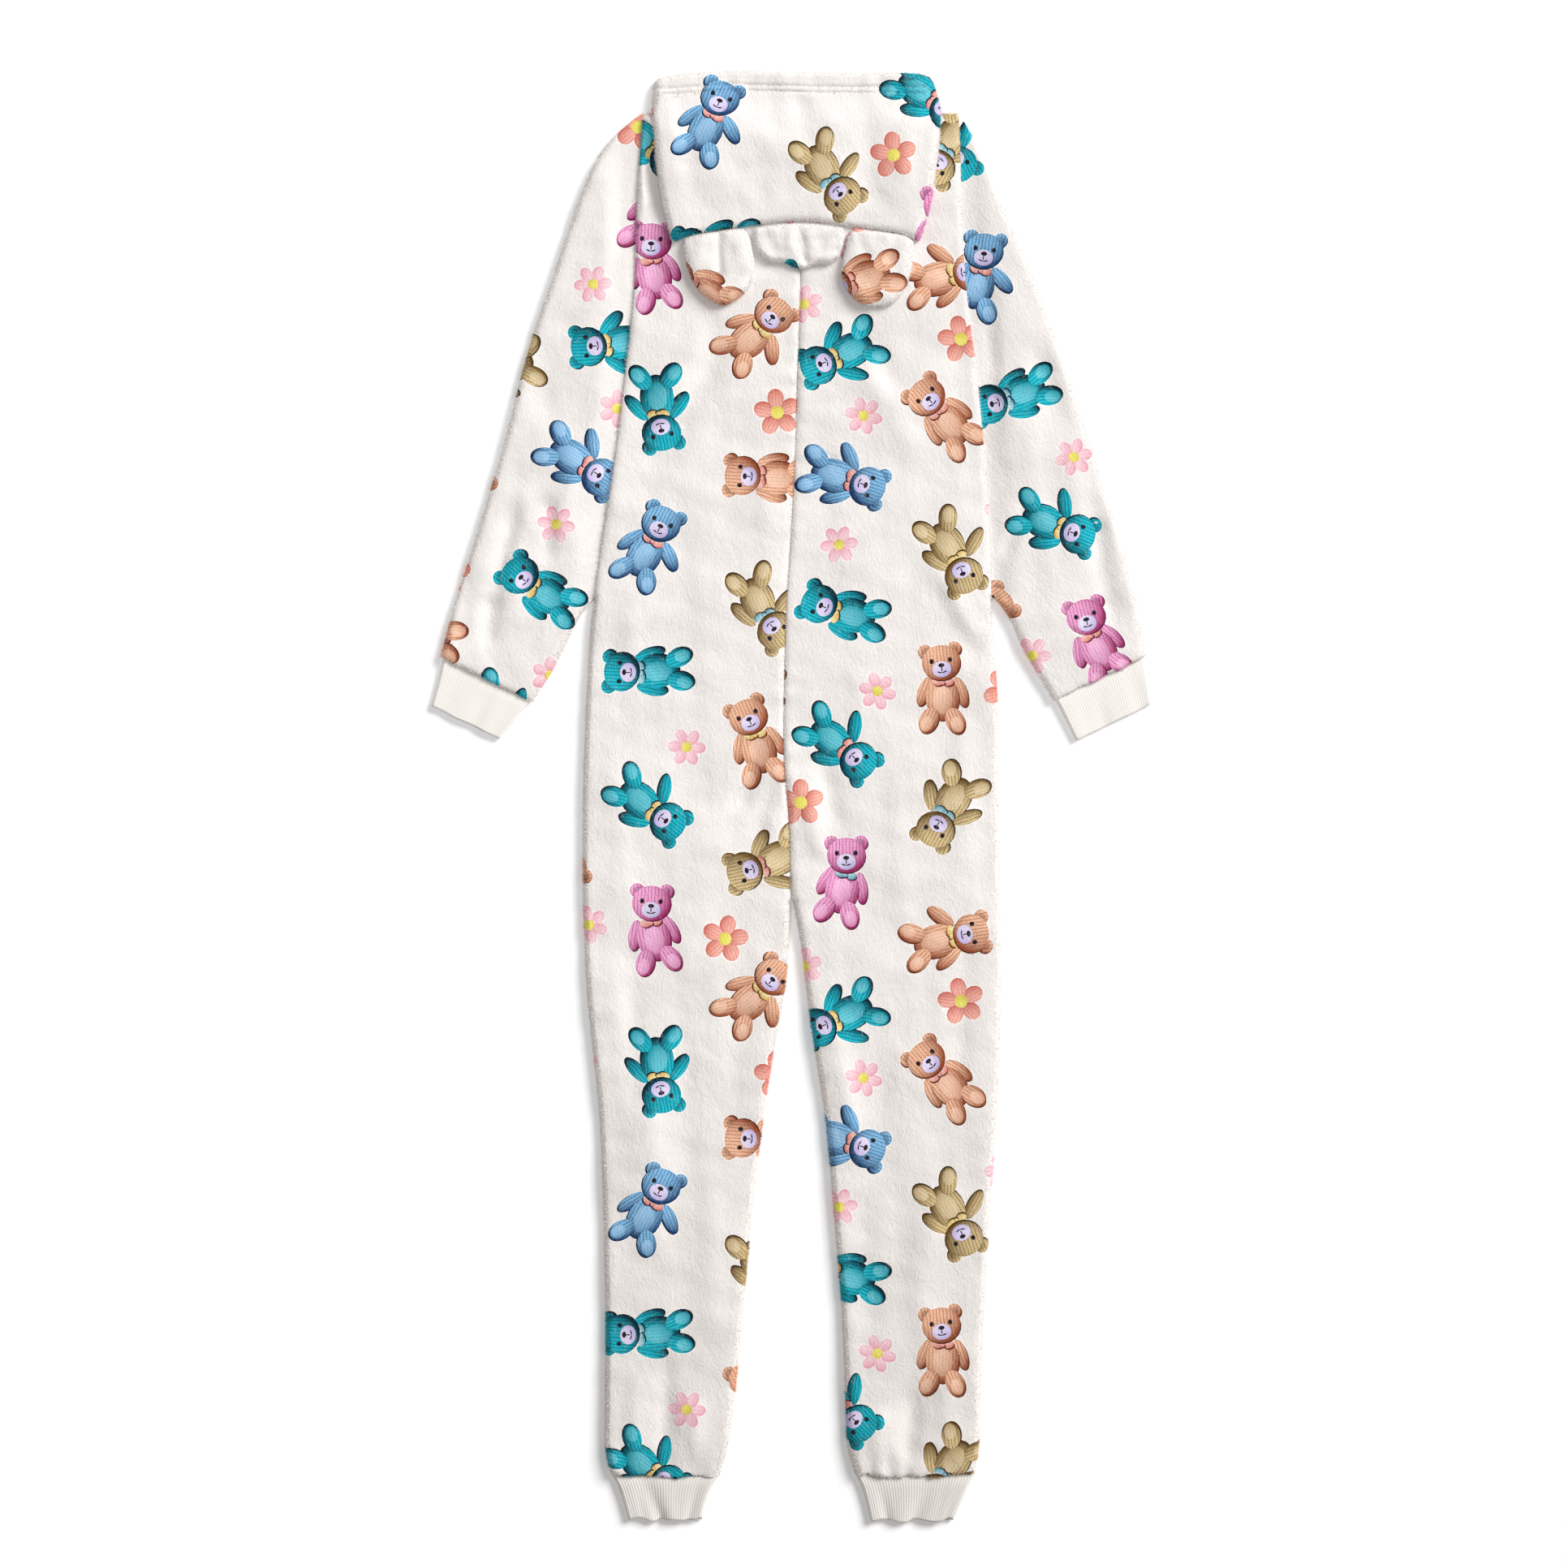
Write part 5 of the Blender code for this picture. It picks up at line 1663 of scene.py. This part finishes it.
def cuff_points(name, turn):
    """A cuff's tube without its ribs, with the share of rib at each point and the count of ribs."""
    limb = name.split("_")[1]
    level, end_level = CUFF_HEIGHTS[limb]
    edges = solid_edges(name, turn)
    low, high = edges[..., 1].min(), edges[..., 1].max()
    rows = np.linspace(low + SIDE_EASE[limb], high - 0.5, SIDE_ROWS)
    found = slices(edges, rows)
    left_side, right_side = (np.polynomial.Polynomial.fit(rows, found[:, k], 2) for k in (0, 1))
    ribs = int(2 * round((found[:, 1].mean() - found[:, 0].mean()) / RIB_PITCH))
    count = ribs * POINTS_A_RIB
    start = high + CUFF_TUCK
    points, shares = [], []
    for t, depth, share in cuff_steps():
        y = start - t * (start - low) - (LIP_DROP if depth == LIP else 0.0)
        flare = CUFF_FLARE[limb] * math.exp(-max(high - y, 0.0) / FLARE_REACH)
        left, right = left_side(min(y, high + 1.0)) - flare, right_side(min(y, high + 1.0)) + flare
        open_share = float(smooth((start - y) / (CUFF_TUCK + CUFF_EASE)))
        bottom = CUFF_PINCH[0] * (1.0 - float(smooth((start - y - 1.0) / CUFF_TUCK)))
        top = CUFF_PINCH[1] + (level + (end_level - level) * t - CUFF_PINCH[1]) * open_share
        middle = (top + bottom) / 2
        thinned = RIB_WALL * depth * min(1.0, THIN_WALL + open_share)
        cut = min(thinned, MOST_WALL * (top - bottom))
        x, z = tube_section(right - left - 2 * cut, bottom + cut, top - cut, count)
        for place, width, height, slant in CUFF_FOLDS[name]:
            gap = x / (right - left) - (place + slant * (t - FOLD_PIVOT))
            fold = height * t * np.exp(-((gap / (0.5 * width)) ** 2))
            z += np.where(z > middle, fold, 0.0) * (INNER_FOLD if depth == INSIDE else 1.0)
        wave = END_SWAY[limb] * t * t * waves(x, z * 4.0, 26.0, 95)
        z += CUFF_WAVE * t * waves(x, x * 0.0, 17.0, 96) * (z > middle)
        plane = np.stack([x + (left + right) / 2, np.full(count, y) + wave], 1)
        points.append(np.concatenate([rotated(plane, turn), z[:, None]], 1))
        shares.append(np.full(count, share * float(smooth((start - y) / (CUFF_TUCK + 2.0)))))
    return np.array(points), np.array(shares), ribs


print("rings in a cuff:", len(cuff_steps()))

# %% Cuffs
RING_SPACING = 2.0
CUFF_BED = 0.02 * MM
CUFF_TURNS = {
    "cuff_wrist_left": WRIST_TURN["left"], "cuff_wrist_right": WRIST_TURN["right"],
    "cuff_ankle_left": 0.0, "cuff_ankle_right": 0.0,
}


def cuff_body(name, turn):
    """The closed mesh of a cuff, ready for its ribs."""
    points, shares, ribs = cuff_points(name, turn)
    rows, count = shares.shape
    index = np.arange(rows * count).reshape(rows, count)
    below, beside = np.roll(index, -1, 0), np.roll(index, -1, 1)
    faces = np.stack([index, below, np.roll(below, -1, 1), beside], -1).reshape(-1, 4)
    mesh = bpy.data.meshes.new(name)
    mesh.from_pydata((points.reshape(-1, 3) * MM).tolist(), [], faces.tolist())
    point_values(mesh, "rib_share", shares)
    point_values(mesh, "rib_turn", np.tile(np.arange(count) * ribs / count, (rows, 1)))
    # Each cuff's painted shade factor: darker at the ankles, where less light falls.
    point_values(mesh, "rib_painted_shade", np.full((rows, count), RIB_PAINTED_SHADE[name.split("_")[1]]))
    corners = faces.ravel()
    flat = np.stack([(corners % count) * RIB_PITCH / POINTS_A_RIB, (corners // count) * RING_SPACING], 1)
    layer = mesh.uv_layers.new(name="flat", do_init=False)
    layer.uv.foreach_set("vector", (flat * MM).astype(np.float32).ravel())
    work = bmesh.new()
    work.from_mesh(mesh)
    bmesh.ops.recalc_face_normals(work, faces=work.faces)
    work.to_mesh(mesh)
    work.free()
    mesh.shade_smooth()
    return mesh


rib_tree = Tree("raise_ribs", rib_depth=RIB_DEPTH["ankle"] * MM, material=rib_knit)
wave = rib_tree.math("COSINE", rib_tree.attribute("rib_turn") * math.tau)
lift = wave * rib_tree.attribute("rib_share") * rib_tree.given("rib_depth")
offset = rib_tree.scaled(rib_tree.out("InputNormal"), lift)
rib_tree.finish(rib_tree.out("SetPosition", Geometry=rib_tree.source, Offset=offset))

for name, turn in CUFF_TURNS.items():
    depth = RIB_DEPTH[name.split("_")[1]] * MM
    cuff = grown(name + "_rib", cuff_body(name, turn), rib_tree, rib_depth=depth, material=rib_knit)
    print(name, "lowest point before it rests:", round(rest(cuff.data, CUFF_BED) / MM, 2), "mm")
    pieces[name] = cuff

# %% [markdown]
# ## Zip
# The front opening is a closed zip on the hidden side. Its tape is a narrow flat band, and its
# teeth are small moulded blocks that interlock from both sides. A tree sets the blocks along a
# line of points, one half-pitch apart on the two sides.

# %% Zip tape
TAPE_SHADE = linear(238, 232, 222)
TAPE_DARK = linear(205, 198, 188)
WEAVE_PITCH = 0.8 * MM
WEAVE_CHANGE = 0.06
TAPE_BED = 1.0
TAPE_WALL = 1.0


def tape_material():
    """Woven zip tape and moulded teeth, in a pale shade."""
    material = new_material("zip_tape", {"Roughness": 0.6})
    n = Shading(material)
    x, y, _ = n.parts(n.place())
    weave = n.math("SINE", (x + y) * (math.tau / WEAVE_PITCH))
    tint = n.blend((weave + 1.0) * WEAVE_CHANGE, (*TAPE_SHADE, 1.0), (*TAPE_DARK, 1.0))
    n.finish(tint, weave, strength=0.3, distance=0.2 * MM)
    return material


zip_tape = tape_material()
tape_low, tape_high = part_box("front_zip")
tape_corners = np.array([
    (tape_low.x, tape_low.y), (tape_high.x, tape_low.y),
    (tape_high.x, tape_high.y), (tape_low.x, tape_high.y),
]) / MM
pieces["front_zip"] = cloth(
    "front_zip_tape", spaced(tape_corners, 6.0), front_kind, FRONT_EDGES, level_at(TAPE_BED), zip_tape,
    face_down=True, wall=TAPE_WALL, printed=False, spacing=3.0, inner_spacing=3.0,
)

# %% Zip teeth
TOOTH_PITCH = 2.6
TOOTH_SIZE = (2.9, 1.3, 1.0)
TOOTH_HEIGHT = 0.55
FIRST_TOOTH = 2.0
TOOTH_SIDE = 0.55

width, length, height = (size * MM for size in TOOTH_SIZE)
tooth_tree = Tree(
    "set_teeth", tooth_width=width, tooth_length=length, tooth_height=height, material=zip_tape
)
tooth = tooth_tree.out("MeshCube", Size=tooth_tree.size("tooth_width", "tooth_length", "tooth_height"))
dots = tooth_tree.out("MeshToPoints", Mesh=tooth_tree.source)
tooth_tree.finish(tooth_tree.out("InstanceOnPoints", Points=dots, Instance=tooth))

tooth_count = int((tape_high.y - tape_low.y) / MM / TOOTH_PITCH) * 2 - 2
numbers = np.arange(tooth_count)
tooth_y = tape_low.y + (FIRST_TOOTH + numbers * TOOTH_PITCH / 2) * MM
tooth_x = (tape_low.x + tape_high.x) / 2 + np.where(numbers % 2, TOOTH_SIDE, -TOOTH_SIDE) * MM
line = bpy.data.meshes.new("tooth_line")
tooth_z = np.full(tooth_count, TOOTH_HEIGHT * MM)
line.from_pydata(np.stack([tooth_x, tooth_y, tooth_z], 1).tolist(), [], [])
zip_teeth = grown("front_zip_teeth", line, tooth_tree, material=zip_tape)

# %% [markdown]
# ## Stitches of the hood's hem
# Two rows of thread hold the turned hem. Each stitch is a short spindle of cotton, half sunk in the
# pile. A tree sets one on each point of a row, turned along it.

# %% Stitches of the hood's hem
STITCH_STEP = 3.3
STITCH_SIZE = (2.7, 0.62, 0.5)
STITCH_SINK = 0.12
THREAD_SHADE = linear(236, 228, 220)
THREAD_DARK = shaded(THREAD_SHADE, 0.72)
TWIST_PITCH = 0.45 * MM
TWIST_CHANGE = 0.3
SPINDLE_DETAIL = 2
HEM_INSET = 7.0


def thread_material():
    """Cotton thread, with the slant of its twist."""
    material = new_material("thread", {"Roughness": 0.7})
    n = Shading(material)
    x, y, _ = n.parts(n.place())
    twist = n.math("SINE", (x + y) * (math.tau / TWIST_PITCH))
    n.finish(n.blend((twist + 1.0) * TWIST_CHANGE, (*THREAD_SHADE, 1.0), (*THREAD_DARK, 1.0)))
    return material


thread = thread_material()
length, width, height = (size * MM for size in STITCH_SIZE)
stitch_tree = Tree(
    "lay_stitches", stitch_length=length, stitch_width=width, stitch_height=height, material=thread
)
ball = stitch_tree.out("MeshIcoSphere", Radius=0.5, Subdivisions=SPINDLE_DETAIL)
size = stitch_tree.size("stitch_length", "stitch_width", "stitch_height")
long_ball = stitch_tree.out("Transform", Geometry=ball, Scale=size)
spindle = stitch_tree.out("SetShadeSmooth", Geometry=long_ball)
dots = stitch_tree.out("MeshToPoints", Mesh=stitch_tree.source)
along_row = stitch_tree.out("ShaderNodeCombineXYZ", n2=stitch_tree.attribute("turn"))
stitch_tree.finish(stitch_tree.out("InstanceOnPoints", Points=dots, Instance=spindle, Rotation=along_row))

places, turns = [], []
for row in HEM_ROWS:
    low, high, _ = slices(solid_edges("hood_front"), [HOOD_SPAN[1] - row])[0]
    x = np.arange(low + HEM_INSET, high - HEM_INSET, STITCH_STEP)
    y = face_y(x) - row
    places.append(np.stack([x, y, hood_top(x, y) - STITCH_SINK], 1))
    turns.append(np.arctan(np.gradient(y, x)))
row_mesh = bpy.data.meshes.new("hem_rows")
row_mesh.from_pydata((np.concatenate(places) * MM).tolist(), [], [])
point_values(row_mesh, "turn", np.concatenate(turns))
hem_stitches = grown("hood_hem_stitches", row_mesh, stitch_tree, material=thread)

# %% [markdown]
# ## Pile at the edges
# Brushed fleece stands out where the cloth turns away: round the ears, along rims and seams, and
# over the cuffs. There it makes the outline soft. A tree scatters thin three-sided hairs on the
# steep parts of a cloth, each leaning its own way, and each takes the ink of the cloth at its root.

# %% Pile at the edges
PILE_LENGTH = 2.2
PILE_ROOT = 0.17
PILE_DENSITY = 1.0e6
PILE_LEAN = 0.75
LEAN_SPAN = ((-1.0, -1.0, 0.0), (1.0, 1.0, 8.0))
PILE_STEEP = 0.9
PILE_LEAST_UP = 0.02
PILE_SIZES = (0.5, 1.25)
PILE_INK = 0.7
PILE_TONE = 0.94
PILE_CHANGE = 0.16
PILE_PIECES = (
    "back_left", "back_right", "sleeve_left", "sleeve_right",
    "hood_front", "hood_back", "ear_left", "ear_right",
)


def pile_material():
    """Loose hairs of the fleece, each as the ink at its root, lighter and darker in turns."""
    material = new_material("pile", {"Roughness": 0.95, "Specular IOR Level": 0.15})
    n = Shading(material)
    ink = n.blend(PILE_INK, n.attribute("ink_dark", "Color"), n.attribute("ink_light", "Color"))
    n.finish(n.scaled(ink, n.noise(n.place(), 700.0, 1.0) * PILE_CHANGE + PILE_TONE))
    return material


def make_pile_tree(material):
    """A tree that stands hairs on the steep parts of a cloth."""
    t = Tree("stand_pile", hair_length=PILE_LENGTH * MM, hair_root=PILE_ROOT * MM, density=PILE_DENSITY,
             lean=PILE_LEAN, steep=PILE_STEEP, seed=0, material=material)
    seed = t.given("seed")
    up = t.parts(t.out("InputNormal"))[2]
    steep = t.math("LESS_THAN", up, t.given("steep")) * t.math("GREATER_THAN", up, PILE_LEAST_UP)
    density = t.given("density")
    roots = t.node("DistributePointsOnFaces", Mesh=t.source, Selection=steep, Density=density, Seed=seed)
    dots, facing = (Value(t, roots.outputs[title]) for title in ("Points", "Rotation"))
    root, length = t.given("hair_root"), t.given("hair_length")
    hair = t.out("MeshCone", {"fill_type": "NGON"}, Vertices=3, Radius_Bottom=root, Depth=length)
    least, most = (t.scaled(corner, t.given("lean")) for corner in LEAN_SPAN)
    lean = t.out("FunctionNodeRandomValue", {"data_type": "FLOAT_VECTOR"}, n0=least, n1=most, Seed=seed)
    lean = t.out("FunctionNodeEulerToRotation", Euler=lean)
    lean = t.out("FunctionNodeRotateRotation", {"rotation_space": "LOCAL"}, Rotation=facing, Rotate_By=lean)
    low, high = PILE_SIZES
    size = t.out("FunctionNodeRandomValue", {"data_type": "FLOAT"}, 1, n2=low, n3=high, Seed=seed)
    t.finish(t.out("InstanceOnPoints", Points=dots, Instance=hair, Rotation=lean, Scale=size))
    return t


pile = pile_material()
pile_tree = make_pile_tree(pile)
piles = []
for seed, name in enumerate(PILE_PIECES, 1):
    hairs = grown(name + "_pile", pieces[name].data, pile_tree, seed=seed, material=pile)
    for title in ("flat", "shape", "knit"):
        left_over = hairs.data.attributes.get(title)
        if left_over:
            hairs.data.attributes.remove(left_over)
    rest(hairs.data)
    piles.append(hairs)
print("hairs:", sum(len(hairs.data.vertices) for hairs in piles) // 4)

# %% [markdown]
# ## Body and flat sizes
# Each piece now rides on the one body, since nothing on the garment moves by itself, and the node
# of the frame that it stands for is hidden. The flat size of a sheet is the rectangle that its
# pattern piece is cut from, with the seam allowance, and its area is that of the cloth in it.

# %% Body and flat sizes
SEAM_ALLOWANCE = 10.0
NARROW_ALLOWANCE = 3.0
NARROW_PIECE = 0.05
SEAM_SHARE = 1.03
SLEEVE_TURN_SHARE = 0.65
RUNS_ROUND = {"sleeve": 2, "cuff": 2}


def flat_size(name, piece):
    """Width, length and area of the cloth that a piece was cut from, in metres."""
    points = places_of(piece.data)[:, :2]
    if name.startswith(("sleeve", "cuff_wrist")):
        turn = WRIST_TURN[name.split("_")[-1]]
        points = rotated(points, -turn * (1.0 if "cuff" in name else SLEEVE_TURN_SHARE))
    width, length = points.max(0) - points.min(0)
    allowance = 2 * MM * (NARROW_ALLOWANCE if min(width, length) < NARROW_PIECE else SEAM_ALLOWANCE)
    area = piece.get("cloth_area", 0.0) or shell_area(piece)
    all_round = width * RUNS_ROUND.get(name.split("_")[0], 1)
    return all_round + allowance, length + allowance, area * SEAM_SHARE


def shell_area(piece):
    """Half the surface of a closed thin shell, which is the area of its cloth."""
    return sum(face.area for face in piece.data.polygons) / 2


for name, piece in pieces.items():
    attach(piece, "root")
    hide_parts(name)
    kind = "cuff_rib" if name.startswith("cuff") else "zip_tape" if name == "front_zip" else "fleece_print"
    if name.startswith("ear"):
        continue
    width, length, area = flat_size(name, piece)
    print(name, "flat", round(width, 3), "x", round(length, 3), "m, area", round(area, 4), "m2")
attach(zip_teeth, "root")
for piece in [hem_stitches, *piles]:
    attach(piece, "root")
